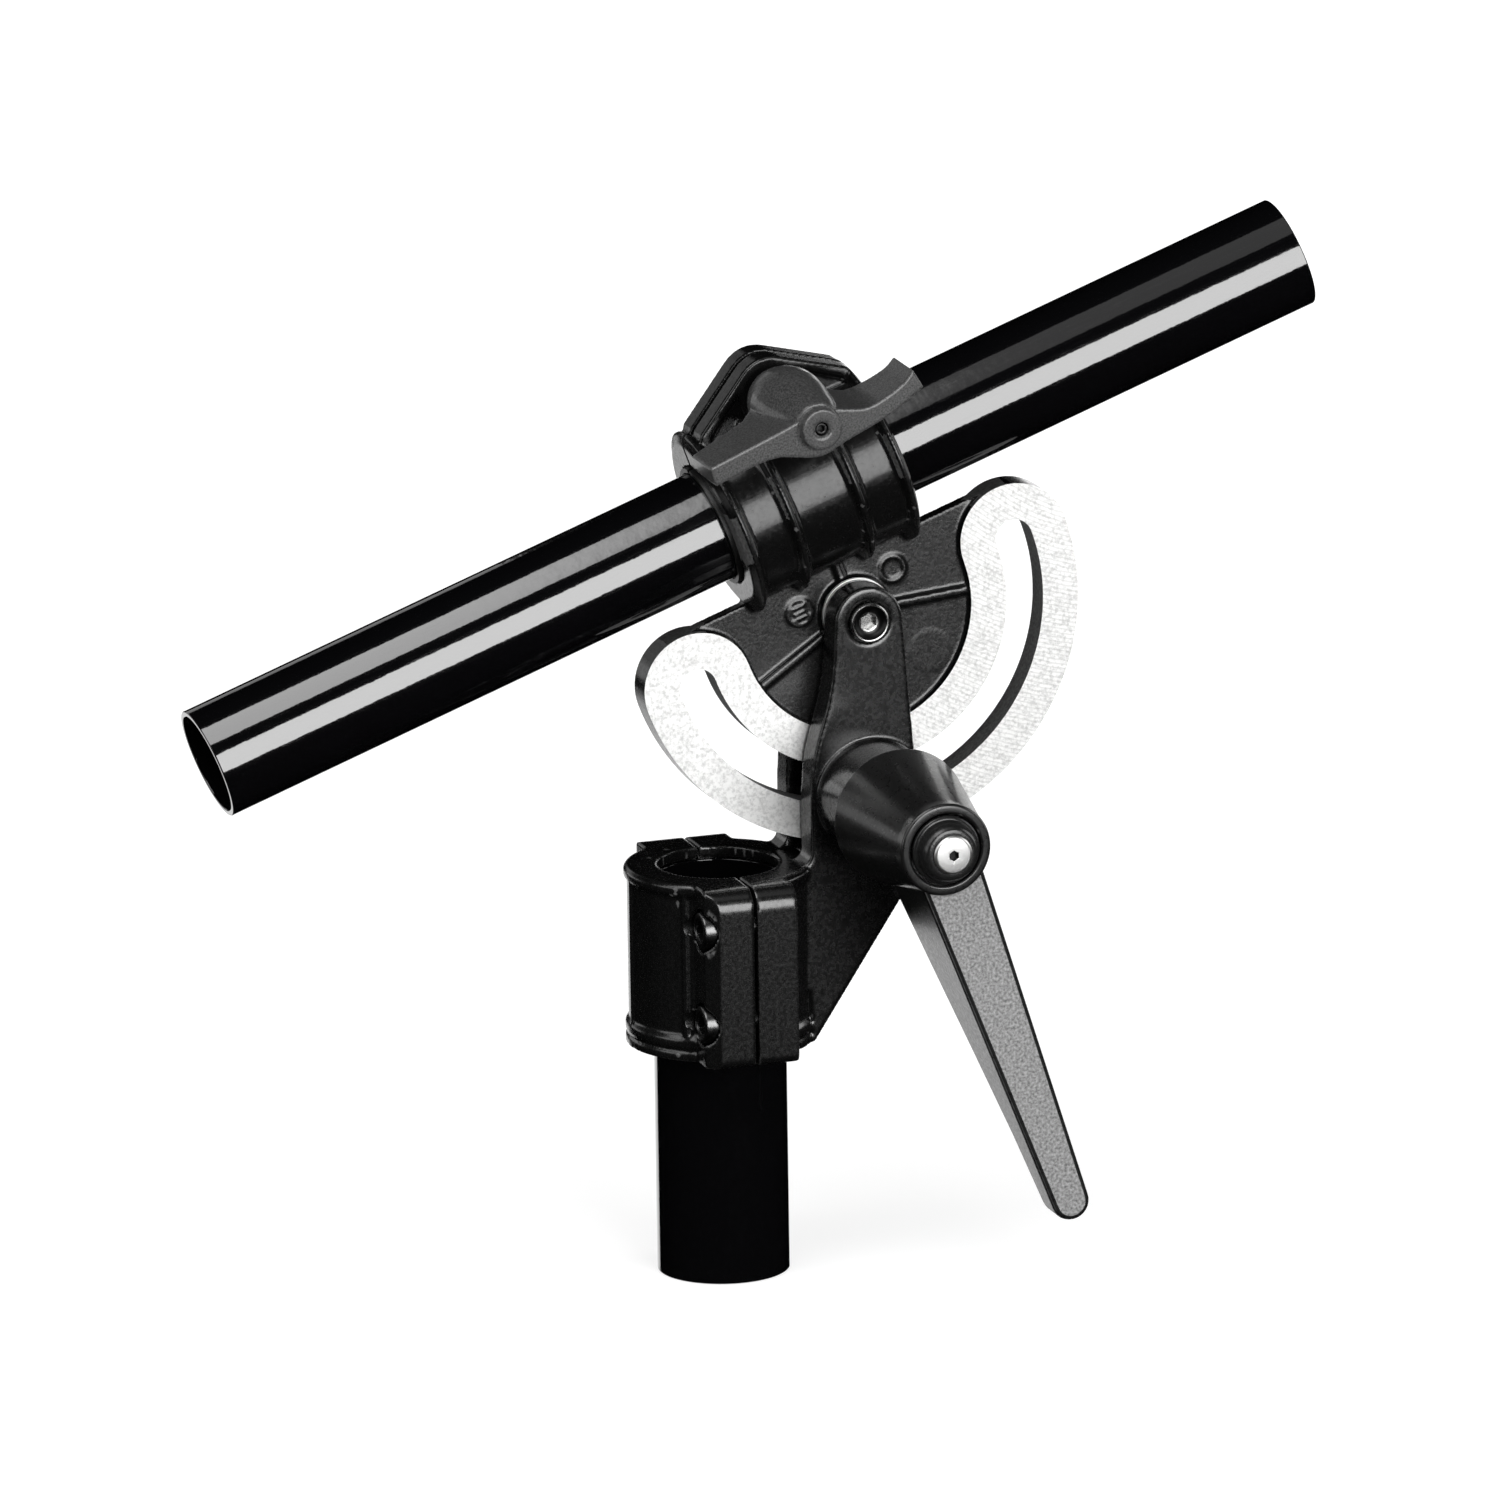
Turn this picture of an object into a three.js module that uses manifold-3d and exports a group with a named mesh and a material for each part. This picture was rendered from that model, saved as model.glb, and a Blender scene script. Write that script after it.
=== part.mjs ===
// The pivot head of a boom stand: a column with a bolted clamp bracket, a slotted quadrant that tilts
// between the bracket's two arms, and a boom that slides in the quadrant's split collar.
// Millimetres, +Z up. The origin is on the column's axis at its lower end, and the front is -Y.
import * as THREE from "three";
import { mergeVertices } from "three/addons/utils/BufferGeometryUtils.js";
import Module from "manifold-3d";

const wasm = await Module();
wasm.setup();

// Fits
const slack = 0.3; // between pieces that touch
const threadSlack = 0.35; // around a screw's shank

// Column and boom
const columnRadius = 17.5;
const columnWall = 1.6;
const columnLength = 106.8;
const boomRadius = 15;
const boomWall = 1.6;
const boomTail = 175; // from the pivot to the end on the left
const boomNose = 144.5; // from the pivot to the end on the right
const boomTilt = THREE.MathUtils.degToRad(20);

// Where the two lines cross the head
const pivotHeight = 175;
const pivotOffset = 38; // from the pivot to the column's axis, and to the boom's
const slotRadius = 46.75; // from the pivot to the clamp bolt

// Column clamp
const clampBottom = 62.5;
const clampHeight = 47.9;
const clampWall = 6.4;
const clampRim = 0.9; // how far its rims stand proud
const clampRimHeight = 2.8;
const clampGroove = 1.4; // between the two beads of the lower rim
const clampLip = 3.2; // the rim over the column's end
const clampSplit = 0.8;
const lugReach = 31; // from the column's axis to the front of the lugs
const lugLeft = 13.3;
const lugRight = 11.6;
const lugCrown = 5.5; // rounding of the lugs' upper edge
const lugFoot = 2; // rounding of the lugs' lower edge
const lugCorner = 3.2; // bevel down the lugs' outer left corner
const clampScrewEdge = 6.4; // from the lugs' front to the screws' axes
const clampScrewPitch = 25.4;
const clampScrewRadius = 3;
const clampScrewHead = 5;
const clampScrewHeadHeight = 5.4;
const clampScrewSocket = 2.7;
const clampScrewPocket = 5.8;
const clampScrewEnd = 8.6; // how far the screws reach into the bracket

// Bracket arms
const armGap = 5.4; // from the middle plane to an arm's inner face
const armThickness = 9;
const armTop = 9.4;
const armLeft = 16.6;
const armRight = 12.2;
const armShoulder = 37; // below the pivot, where the right edge starts to spread
const armSwell = 27; // below the pivot, where the left edge spreads fastest
const gussetReach = 14.4;
const gussetStart = 66; // below the pivot
const gussetBelly = 15.4; // the right edge's widest, behind the boss
const gussetEase = 7; // how softly the edge turns there
const footReach = 3.4; // fillet from an arm's left edge onto the clamp
const footRise = 5;
const webReach = 5.7; // the web that ties the arms, outward from the clamp
const webTop = 104; // the web's upper edge, above the column's lower end
const bossRadius = 15;
const bossNose = 14.4;
const bossLength = 21.9;

// Quadrant
const padHalfWidth = 14.85;
const padHalf = 4.15; // half the thickness of the machined band
const plateHalf = 2.1; // half the thickness of the plate inside it
const plateTop = 14.6;
const slotHalfWidth = 5.1;
const pivotBoss = 9.6;
const ribHalf = 1.1;
const ribProud = 1.1;
const ribEnd = 33;
const ribTilt = THREE.MathUtils.degToRad(14.5);
const markRadius = 3.7;
const markSpread = 13.7;
const markRise = 6.15;
const markProud = 0.4;
const markRim = 0.7;

// Boom collar
const collarPlace = -2; // its middle, along the boom from the pivot
const collarHalf = 24.3;
const collarRadius = 23.1;
const collarBore = 16.8;
const flangeRadius = 25.9;
const flangePlace = 22.7; // of its crest, from the collar's middle
const beadRadius = 25.5;
const beadPlace = 9.5;
const crestWidth = 1;
const crestFoot = 1.3; // how much wider a ridge is on each side at its root
const neckHalf = 9; // half the thickness of the neck under the collar
const neckReach = 22;
const neckFoot = 16.6;
const earPlace = -1; // the ears' middle, along the boom from the pivot
const earHalf = 7.5;
const earGap = 0.8;
const earBase = 22.5;
const earShoulder = 21.5;
const earShoulderReach = 22.6;
const earSlopeStart = 21.3;
const earSlopeReach = 5.4;
const earSlopeTop = 36.9;
const earApex = 38.6;
const earBolt = 28.5; // above the boom's axis
const earBend = 25.6; // the ears' lower corner, above the boom's axis
const earRim = 2.8; // the raised edge around the pocket in an ear's face
const earPocket = 1.1;
const earSeat = 8.2; // the round seat left standing in the pocket
const linerWall = 1.2;
const linerProud = 1.2; // how far the liner stands out of the collar's ends

// Screws and washers
const pivotShank = 4;
const pivotHead = 5.3;
const pivotHeadProud = 1.2;
const pivotHeadSunk = 3;
const pivotSocket = 2.6;
const pivotDish = 4.1;
const pivotDishDepth = 1.6;
const pivotNutAcross = 6.5; // half the width over the flats
const pivotNutHeight = 6.2;
const washerThickness = 0.65;
const clampBoltShank = 4;
const clampBoltEnd = 22; // how far it reaches into the lever's core
const clampBoltHeadAcross = 6.5;
const clampBoltHeadHeight = 5.3;
const plateWasherRadius = 8.4;
const plateWasherThickness = 1.6;
const slotBushRadius = 4.8;
const bossWasherRadius = 8.5;
const bossWasherThickness = 1.4;
const earBoltHead = 6.5;
const earBoltHeadHeight = 3.6;
const earBoltCrown = 2.4;
const earBoltEnd = 38; // in front of the middle plane

// Clamp lever
const skirtStart = 0.7; // from the boss's end to the skirt
const skirtRadius = 18.2;
const hubRadius = 12.36;
const hubFront = 73.8; // in front of the middle plane
const hubBand = 3.4; // the straight band behind the hub's front
const hubLipInner = 9.7;
const hubRecess = 12.2; // how deep the cap's recess goes
const skirtWall = 2.6;
const skirtDepth = 9; // how deep the skirt is open at the back
const coreRadius = 8.2;
const coreFlange = 5;
const toothRoot = 6.1;
const toothTip = 7.2;
const toothLength = 4.2;
const coreNeck = 5.2;
const teeth = 14;
const liftStroke = 4.5;
const leverFace = 70; // in front of the middle plane
const leverLength = 109.4;
const leverSwing = THREE.MathUtils.degToRad(19.2);
const leverRootHalf = 7.6;
const leverTip = 3.8;
const leverRootDepth = 33;
const leverWaist = 64; // from the hub's axis to where the back bends
const leverWaistDepth = 18.4;
const leverTipDepth = 8.8;
const leverFlank = 1.3; // bevel around the lever's face
const capRadius = 9.2;
const capCrown = 5.6;
const capHeight = 4.9;
const capRim = 1.1;
const capScrewHead = 5.3;
const capScrewProud = 0.9;
const capScrewSocket = 1.7;
const capScrewSocketDepth = 1.8;
const capScrewShank = 2.4;
const capScrewEnd = 11;

// T-knob
const knobFoot = 6.9;
const knobBulge = 10.2;
const knobShoulder = 7.6;
const knobBulgeBack = 18.6; // in front of the middle plane
const knobBulgeFront = 25;
const knobShoulderPlace = 39.7;
const knobNose = 6.4;
const knobBossRadius = 5.4;
const knobFront = 48.5;
const knobBossProud = 3;
const knobWasherRadius = 6.4;
const knobWasherThickness = 1.5;
const wingReach = 31;
const wingTipDepth = 14.7;
const wingRootDepth = 20.2;
const wingRoot = 14;
// The knob's face, as offsets from its axis: one wing is straight, the other curls up.
const knobUnder = [[-31, -2.8], [-19, -2.3], [-13, -3], [-9.5, -4.5], [-4, -7.2], [0, -7.8],
  [5.4, -6.9], [15.8, -5.9], [22.5, -4.6], [29.9, -2.4]];
const knobOver = [[28.8, 3.2], [25, 0.9], [18, -0.7], [13, -0.6], [6.6, 2.2], [0, 5.2],
  [-5, 3.7], [-31, 2.5]];
const knobScrewRadius = 2.2;
const knobScrewSocket = 1.3;
const knobScrewLength = 5;

// Counts and shares
const roundSides = 72;
const smallSides = 24;
const curveSteps = 8;
const chamferShare = 0.12; // of a screw head's height
const socketShare = 0.55; // of a screw head's height
const hexSides = 6;
const toothCorners = 4;
const bendShare = 0.5; // of an inset, at an ear's lower corner
const edgeSteps = 24; // along each edge of the knob's face
const bandSteps = 40; // around each edge of the quadrant's band
const quarter = Math.PI / 2;

// Derived places
const armFace = armGap + armThickness;
const clampTop = clampBottom + clampHeight;
const clampMiddle = clampBottom + clampHeight / 2;
const clampScrewReach = lugReach - clampScrewEdge;
const clampRadius = columnRadius + clampWall;
const bossEnd = armFace + bossLength;
const skirtBack = bossEnd + skirtStart;
const knobSeat = earHalf + slack + knobWasherThickness + slack;
const past = columnRadius; // how far a cut runs past a face

// Finishes
const paint = (color, roughness, metalness = 0) =>
  new THREE.MeshStandardMaterial({ color, roughness, metalness });
const glossBlack = paint(0x08080a, 0.18, 0.2);
const satinBlack = paint(0x101012, 0.42, 0.1);
const castBlack = paint(0x141416, 0.5, 0.1);
const greyPlastic = paint(0x2e2f31, 0.65);
const leverGrey = paint(0x77787a, 0.55, 0.3);
const darkNylon = paint(0x17181a, 0.55);
const steel = paint(0xb8babd, 0.3, 1);
const darkSteel = paint(0x2a2b2d, 0.35, 1);

// Solids

function solid(geometry) {
  const bare = geometry.index ? geometry.toNonIndexed() : geometry.clone();
  bare.deleteAttribute("normal");
  bare.deleteAttribute("uv");
  const merged = mergeVertices(bare, 1e-4);
  const corners = [];
  const index = merged.index.array;
  for (let i = 0; i < index.length; i += 3) {
    const [a, b, c] = index.subarray(i, i + 3);
    if (a !== b && b !== c && c !== a) corners.push(a, b, c);
  }
  return new wasm.Manifold(
    new wasm.Mesh({
      numProp: 3,
      vertProperties: merged.attributes.position.array,
      triVerts: new Uint32Array(corners),
    }),
  );
}

function geometryOf(body) {
  const mesh = body.getMesh();
  return new THREE.BufferGeometry()
    .setAttribute("position", new THREE.BufferAttribute(mesh.vertProperties, 3))
    .setIndex(new THREE.BufferAttribute(mesh.triVerts, 1));
}

function piece(name, body, material) {
  const flat = geometryOf(body).toNonIndexed();
  flat.computeVertexNormals();
  const mesh = new THREE.Mesh(flat, material);
  mesh.name = name;
  return mesh;
}

const join = (...bodies) => bodies.reduce((sum, body) => sum.add(body));
const cut = (body, ...tools) => tools.reduce((rest, tool) => rest.subtract(tool), body);

function signedArea(points) {
  return points.reduce((sum, [x, y], i) => {
    const [nextX, nextY] = points[(i + 1) % points.length];
    return sum + x * nextY - nextX * y;
  }, 0);
}

// A turned piece about the Y axis, from a loop of [radius, y] points.
function turned(profile, sides = roundSides) {
  const loop = signedArea(profile) > 0 ? profile : [...profile].reverse();
  const points = [...loop, loop[0]].map(([radius, y]) => new THREE.Vector2(radius, y));
  return new THREE.LatheGeometry(points, sides);
}

// A plain disc or a ring about the Y axis, between two stations.
function disc(radius, from, to, bore = 0, sides = roundSides) {
  return turned([[bore, from], [radius, from], [radius, to], [bore, to]], sides);
}

// An outline in X and Z, as thick as wanted, between two stations along Y.
function plate(shape, front, back) {
  const geometry = new THREE.ExtrudeGeometry(shape, {
    depth: back - front, bevelEnabled: false, curveSegments: curveSteps,
  });
  return geometry.rotateX(quarter).translate(0, back, 0);
}

const block = (x0, x1, y0, y1, z0, z1) =>
  new THREE.BoxGeometry(x1 - x0, y1 - y0, z1 - z0)
    .translate((x0 + x1) / 2, (y0 + y1) / 2, (z0 + z1) / 2);

const alongX = (geometry) => geometry.rotateZ(-quarter);
const alongZ = (geometry) => geometry.rotateX(quarter);
const hexagon = (flat, from, to) =>
  disc(flat / Math.cos(Math.PI / hexSides), from, to, 0, hexSides);

function arc(x, z, radius, from, to, steps) {
  return Array.from({ length: steps + 1 }, (_, i) => {
    const angle = from + ((to - from) * i) / steps;
    return new THREE.Vector2(x + radius * Math.cos(angle), z + radius * Math.sin(angle));
  });
}

// A half ring with round ends, below the origin.
function curvedBand(radius, half, steps = bandSteps) {
  const ends = curveSteps * 2;
  return new THREE.Shape([
    ...arc(0, 0, radius + half, -Math.PI, 0, steps),
    ...arc(radius, 0, half, 0, Math.PI, ends).slice(1),
    ...arc(0, 0, radius - half, 0, -Math.PI, steps).slice(1),
    ...arc(-radius, 0, half, 0, Math.PI, ends).slice(1, -1),
  ]);
}

// Column

function columnTube() {
  const body = alongZ(disc(columnRadius, 0, columnLength, columnRadius - columnWall));
  return piece("column_tube", solid(body), glossBlack);
}

// Both halves of the clamp in one, before the split.
function clampBody() {
  const proud = clampRadius + clampRim;
  const bead = (clampRimHeight * 2 - clampGroove) / 2;
  const barrel = solid(alongZ(turned([
    [0, clampBottom], [proud, clampBottom],
    [proud, clampBottom + bead], [clampRadius, clampBottom + bead + clampGroove / 2],
    [proud, clampBottom + bead + clampGroove], [proud, clampBottom + bead * 2 + clampGroove],
    [clampRadius, clampBottom + bead * 2 + clampGroove * 2],
    [clampRadius, clampTop - clampRimHeight - clampRim], [proud, clampTop - clampRimHeight],
    [proud, clampTop - clampRim], [clampRadius, clampTop], [0, clampTop],
  ])));
  const side = new THREE.Shape();
  side.moveTo(-lugReach + lugFoot, clampBottom);
  side.lineTo(lugReach - lugFoot, clampBottom);
  side.absarc(lugReach - lugFoot, clampBottom + lugFoot, lugFoot, -quarter, 0);
  side.absarc(lugReach - lugCrown, clampTop - lugCrown, lugCrown, 0, quarter);
  side.absarc(-lugReach + lugCrown, clampTop - lugCrown, lugCrown, quarter, Math.PI);
  side.absarc(-lugReach + lugFoot, clampBottom + lugFoot, lugFoot, Math.PI, Math.PI + quarter);
  const lugs = new THREE.ExtrudeGeometry(side, {
    depth: lugLeft + lugRight, bevelEnabled: false, curveSegments: curveSteps / 2,
  }).rotateX(quarter).rotateZ(quarter).translate(-lugLeft, 0, 0);
  const corner = new THREE.Shape();
  corner.moveTo(-lugLeft - lugCorner, lugReach - lugCorner * 2);
  corner.lineTo(-lugLeft + lugCorner * 2, lugReach + lugCorner);
  corner.lineTo(-lugLeft - lugCorner, lugReach + lugCorner);
  corner.closePath();
  const rear = solid(new THREE.ExtrudeGeometry(corner, { depth: clampTop, bevelEnabled: false }));
  const corners = [rear, rear.mirror([0, 1, 0])];
  const seat = clampTop - clampLip;
  return cut(
    join(barrel, cut(solid(lugs), ...corners)),
    solid(alongZ(disc(columnRadius + slack, clampBottom - past, seat))),
    solid(alongZ(disc(columnRadius - columnWall, clampBottom, clampTop + past))),
  );
}

const screwPlaces = [-1, 1].flatMap((side) =>
  [-1, 1].map((level) => ({
    name: `clamp_screw_${side < 0 ? "front" : "rear"}_${level < 0 ? "lower" : "upper"}`,
    y: side * clampScrewReach,
    z: clampMiddle + (level * clampScrewPitch) / 2,
  })));

const headSeat = -lugLeft + clampScrewHeadHeight; // where the screw heads bear, along X

function clampCap() {
  const keep = solid(block(-lugReach * 2, -clampSplit / 2, -lugReach * 2, lugReach * 2, 0, clampTop * 2));
  const holes = screwPlaces.flatMap(({ y, z }) => [
    solid(alongX(disc(clampScrewPocket, -lugLeft * 2, headSeat, 0, smallSides)).translate(0, y, z)),
    solid(alongX(disc(clampScrewRadius + threadSlack, headSeat - slack, past, 0, smallSides))
      .translate(0, y, z)),
  ]);
  return piece("column_clamp_cap", cut(clampBody().intersect(keep), ...holes), satinBlack);
}

function clampScrews() {
  const socket = clampScrewHeadHeight * socketShare;
  const bevel = clampScrewHeadHeight * chamferShare;
  return screwPlaces.map(({ name, y, z }) => {
    const crown = headSeat - slack - clampScrewHeadHeight;
    const body = solid(turned([
      [0, crown], [clampScrewHead - bevel, crown], [clampScrewHead, crown + bevel],
      [clampScrewHead, headSeat - slack], [clampScrewRadius, headSeat - slack],
      [clampScrewRadius, clampScrewEnd], [0, clampScrewEnd],
    ], smallSides));
    const key = solid(hexagon(clampScrewSocket, crown - socket, crown + socket));
    const mesh = piece(name, cut(body, key), darkSteel);
    mesh.rotation.z = -quarter;
    mesh.position.set(0, y, z);
    return mesh;
  });
}

// Bracket

function armOutline() {
  const shape = new THREE.Shape();
  const bottom = -pivotHeight + clampBottom;
  const top = -pivotHeight + clampTop;
  shape.absarc(0, 0, armTop, 0, Math.PI);
  shape.bezierCurveTo(-armTop, -armSwell, -armLeft, -armSwell, -armLeft, -slotRadius);
  shape.lineTo(-armLeft, top + footRise);
  shape.quadraticCurveTo(-armLeft, top, -armLeft - footReach, top);
  shape.lineTo(-armLeft, bottom);
  shape.lineTo(gussetReach, -gussetStart);
  shape.bezierCurveTo(gussetBelly, -gussetStart + gussetEase, gussetBelly, -slotRadius,
    armRight, -armShoulder);
  shape.closePath();
  return shape;
}

function bracket() {
  const clampHalf = clampBody().intersect(
    solid(block(clampSplit / 2, lugReach * 2, -lugReach * 2, lugReach * 2, 0, clampTop * 2)));
  const arms = [-armFace, armGap].map((front) =>
    solid(plate(armOutline(), front, front + armThickness)
      .translate(pivotOffset, 0, pivotHeight)));
  const outline = plate(armOutline(), -armFace, armFace).translate(pivotOffset, 0, pivotHeight);
  const web = solid(block(clampRadius - clampWall / 2, clampRadius + webReach,
    -armFace + armThickness / 2, armFace - armThickness / 2, clampBottom, webTop))
    .intersect(solid(outline));
  const boss = solid(turned([
    [0, -armFace + armThickness / 2], [bossRadius, -armFace + armThickness / 2],
    [bossRadius, -armFace], [bossNose, -bossEnd], [0, -bossEnd],
  ]).translate(pivotOffset, 0, pivotHeight - slotRadius));
  const column = solid(alongZ(disc(columnRadius + slack, clampBottom - past, clampTop - clampLip)));
  const boltHole = solid(disc(clampBoltShank + threadSlack, -bossEnd * 2, armFace * 2, 0, smallSides)
    .translate(pivotOffset, 0, pivotHeight - slotRadius));
  const pivotHole = solid(disc(pivotShank + threadSlack, -armFace * 2, armFace * 2, 0, smallSides)
    .translate(pivotOffset, 0, pivotHeight));
  const pivotSink = solid(disc(pivotHead + slack, -armFace * 2, -armFace + pivotHeadSunk, 0, smallSides)
    .translate(pivotOffset, 0, pivotHeight));
  const threads = screwPlaces.map(({ y, z }) =>
    solid(alongX(disc(clampScrewRadius + threadSlack, -past, clampScrewEnd + slack, 0, smallSides))
      .translate(0, y, z)));
  const body = cut(join(clampHalf, ...arms, web, boss), column, boltHole, pivotHole, pivotSink, ...threads);
  return piece("bracket", body, satinBlack);
}

// Tilting quadrant, in a frame with its origin at the pivot and X along the boom

function quadrantPlate() {
  const lean = Math.asin(plateTop / slotRadius);
  const disk = new THREE.Shape(arc(0, 0, slotRadius, -Math.PI - lean, lean, roundSides));
  const pad = solid(plate(curvedBand(slotRadius, padHalfWidth), -padHalf, padHalf));
  const web = solid(plate(disk, -plateHalf, plateHalf));
  const boss = solid(disc(pivotBoss, -padHalf, padHalf));
  const ribs = [-ribTilt, Math.PI + ribTilt, quarter].map((angle) =>
    solid(block(pivotBoss / 2, angle === quarter ? plateTop : ribEnd,
      -plateHalf - ribProud, plateHalf + ribProud, -ribHalf, ribHalf).rotateY(-angle)));
  const marks = [-markSpread, markSpread].map((x) =>
    solid(disc(markRadius, -plateHalf - markProud, 0, markRadius - markRim, smallSides)
      .translate(x, 0, markRise)));
  return join(pad, web, boss, ...ribs, ...marks);
}

// One ridge around the collar, with sloping flanks.
function ridge(crest, middle) {
  const half = crestWidth / 2;
  const root = half + crestFoot;
  return alongX(turned([
    [0, middle - root], [collarRadius - slack, middle - root], [crest, middle - half],
    [crest, middle + half], [collarRadius - slack, middle + root], [0, middle + root],
  ]));
}

// An ear's outline above the boom's axis, drawn in from its edge.
function earOutline(inset = 0) {
  const foot = earBase - inset;
  const shoulder = earShoulderReach - inset;
  const slope = earSlopeStart - inset;
  const bend = earBend - inset * bendShare;
  const top = earSlopeTop - inset;
  const shape = new THREE.Shape();
  shape.moveTo(-foot, 0);
  shape.lineTo(foot, 0);
  shape.lineTo(shoulder, earShoulder);
  shape.quadraticCurveTo(shoulder, bend, slope, bend + earGap);
  shape.lineTo(earSlopeReach, top);
  shape.quadraticCurveTo(0, earApex - inset + earGap * 2, -earSlopeReach, top);
  shape.lineTo(-slope, bend + earGap);
  shape.quadraticCurveTo(-shoulder, bend, -shoulder, earShoulder);
  shape.closePath();
  return shape;
}

function collarBody() {
  const barrel = join(
    solid(alongX(disc(collarRadius, -collarHalf, collarHalf))),
    ...[-1, 1].flatMap((side) => [
      solid(ridge(flangeRadius, side * flangePlace)),
      solid(ridge(beadRadius, side * beadPlace)),
    ]),
  ).translate(collarPlace, 0, 0);
  const ears = solid(plate(earOutline(), -earHalf, earHalf));
  const pockets = [-1, 1].map((side) => {
    const face = side * (earHalf - earPocket);
    const reach = side * earHalf * 2;
    const from = Math.min(face, reach);
    const to = Math.max(face, reach);
    const seat = solid(disc(earSeat, from - slack, to + slack)).translate(0, 0, earBolt);
    return cut(solid(plate(earOutline(earRim), from, to)), seat);
  });
  return join(barrel, cut(ears, ...pockets).translate(earPlace, 0, 0));
}

function boomCradle() {
  const lift = [0, 0, pivotOffset];
  const neck = solid(block(-neckReach, neckReach, -neckHalf, neckHalf, neckFoot, pivotOffset))
    .translate(collarPlace, 0, 0);
  const bore = solid(alongX(disc(collarBore, -collarHalf * 2, collarHalf * 2)).translate(...lift));
  const split = solid(block(-collarHalf * 2, collarHalf * 2, -earGap, earGap,
    pivotOffset, pivotOffset + earApex * 2));
  const slot = solid(plate(curvedBand(slotRadius, slotHalfWidth), -padHalf * 2, padHalf * 2));
  const pivotHole = solid(disc(pivotShank + threadSlack, -padHalf * 2, padHalf * 2, 0, smallSides));
  const earHole = solid(disc(pivotShank + threadSlack, -earHalf * 2, earHalf * 2, 0, smallSides)
    .translate(earPlace, 0, pivotOffset + earBolt));
  const body = cut(join(quadrantPlate(), collarBody().translate(lift), neck),
    bore, split, slot, pivotHole, earHole);
  return piece("boom_cradle", body, castBlack);
}

function boomLiner() {
  const outer = collarBore - slack;
  const end = collarHalf + linerProud;
  const sleeve = solid(alongX(disc(outer, -end, end, outer - linerWall)));
  const slit = solid(block(-end * 2, end * 2, -earGap, earGap, 0, collarRadius));
  const mesh = piece("boom_liner", cut(sleeve, slit), darkNylon);
  mesh.position.set(collarPlace, 0, pivotOffset);
  return mesh;
}

function boomTube() {
  const tube = alongX(disc(boomRadius, -boomTail, boomNose, boomRadius - boomWall));
  const mesh = piece("boom_tube", solid(tube), glossBlack);
  mesh.position.z = pivotOffset;
  return mesh;
}

function earBoltPiece() {
  const seat = earHalf + slack;
  const body = turned([
    [0, -earBoltEnd], [pivotShank, -earBoltEnd], [pivotShank, seat], [earBoltHead, seat],
    [earBoltHead, seat + earBoltHeadHeight - earBoltCrown],
    [earBoltHead - earBoltCrown, seat + earBoltHeadHeight], [0, seat + earBoltHeadHeight],
  ], smallSides);
  return piece("ear_bolt", solid(body), darkSteel);
}

function knobWasher() {
  const ring = disc(knobWasherRadius, -earHalf - slack - knobWasherThickness, -earHalf - slack,
    pivotShank + threadSlack);
  return piece("knob_washer", solid(ring), steel);
}

function knobFace() {
  const edge = (offsets) => new THREE.SplineCurve(offsets.map(([x, z]) => new THREE.Vector2(x, z)))
    .getPoints(edgeSteps);
  return new THREE.Shape([...edge(knobUnder), ...edge(knobOver)]);
}

// What is cut away behind the wings, on one side.
function behindWing(front) {
  const back = front + wingRootDepth;
  const taper = new THREE.Shape();
  taper.moveTo(knobShoulder, back + knobShoulder);
  taper.lineTo(wingRoot, back);
  taper.lineTo(wingReach, front + wingTipDepth);
  taper.lineTo(wingReach * 2, front + wingTipDepth);
  taper.lineTo(wingReach * 2, back + knobShoulder);
  taper.closePath();
  return solid(new THREE.ExtrudeGeometry(taper, { depth: wingReach, bevelEnabled: false })
    .translate(0, 0, -wingReach / 2));
}

function tKnob() {
  const front = -knobFront + knobBossProud;
  const back = -knobSeat;
  const hub = solid(turned([
    [0, back], [knobFoot, back], [knobBulge, -knobBulgeBack], [knobBulge, -knobBulgeFront],
    [knobShoulder, -knobShoulderPlace], [knobNose, front], [0, front],
  ]));
  const wings = solid(plate(knobFace(), front, front + wingRootDepth + knobShoulder));
  const behind = behindWing(front);
  const boss = solid(disc(knobBossRadius, -knobFront, front + knobBossProud, 0, smallSides));
  const bore = solid(disc(pivotShank + threadSlack, -earBoltEnd - slack, 0, 0, smallSides));
  const screwHole = solid(disc(knobScrewRadius + slack, -knobFront * 2,
    -knobFront + knobScrewLength + slack * 2, 0, smallSides));
  const body = cut(join(hub, boss, cut(wings, behind, behind.mirror([1, 0, 0]))), bore, screwHole);
  return piece("t_knob", body, greyPlastic);
}

function knobScrew() {
  const front = -knobFront + slack;
  const body = solid(disc(knobScrewRadius, front, front + knobScrewLength, 0, smallSides));
  const key = solid(hexagon(knobScrewSocket, front - slack, front + knobScrewLength / 2));
  return piece("knob_cap_screw", cut(body, key), darkSteel);
}

// Pivot and clamp bolts, in a frame with its origin at their own axis in the middle plane

function pivotBolt() {
  const crown = -armFace - pivotHeadProud;
  const seat = -armFace + pivotHeadSunk - slack;
  const bevel = pivotHeadProud / 2;
  const body = solid(turned([
    [0, crown + pivotDishDepth], [pivotSocket, crown + pivotDishDepth], [pivotDish, crown],
    [pivotHead - bevel, crown], [pivotHead, crown + bevel], [pivotHead, seat],
    [pivotShank, seat], [pivotShank, armFace + pivotNutHeight], [0, armFace + pivotNutHeight],
  ], smallSides + curveSteps));
  const key = solid(hexagon(pivotSocket, crown, -armFace + pivotHeadSunk - bevel));
  return piece("pivot_bolt", cut(body, key), darkSteel);
}

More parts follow.
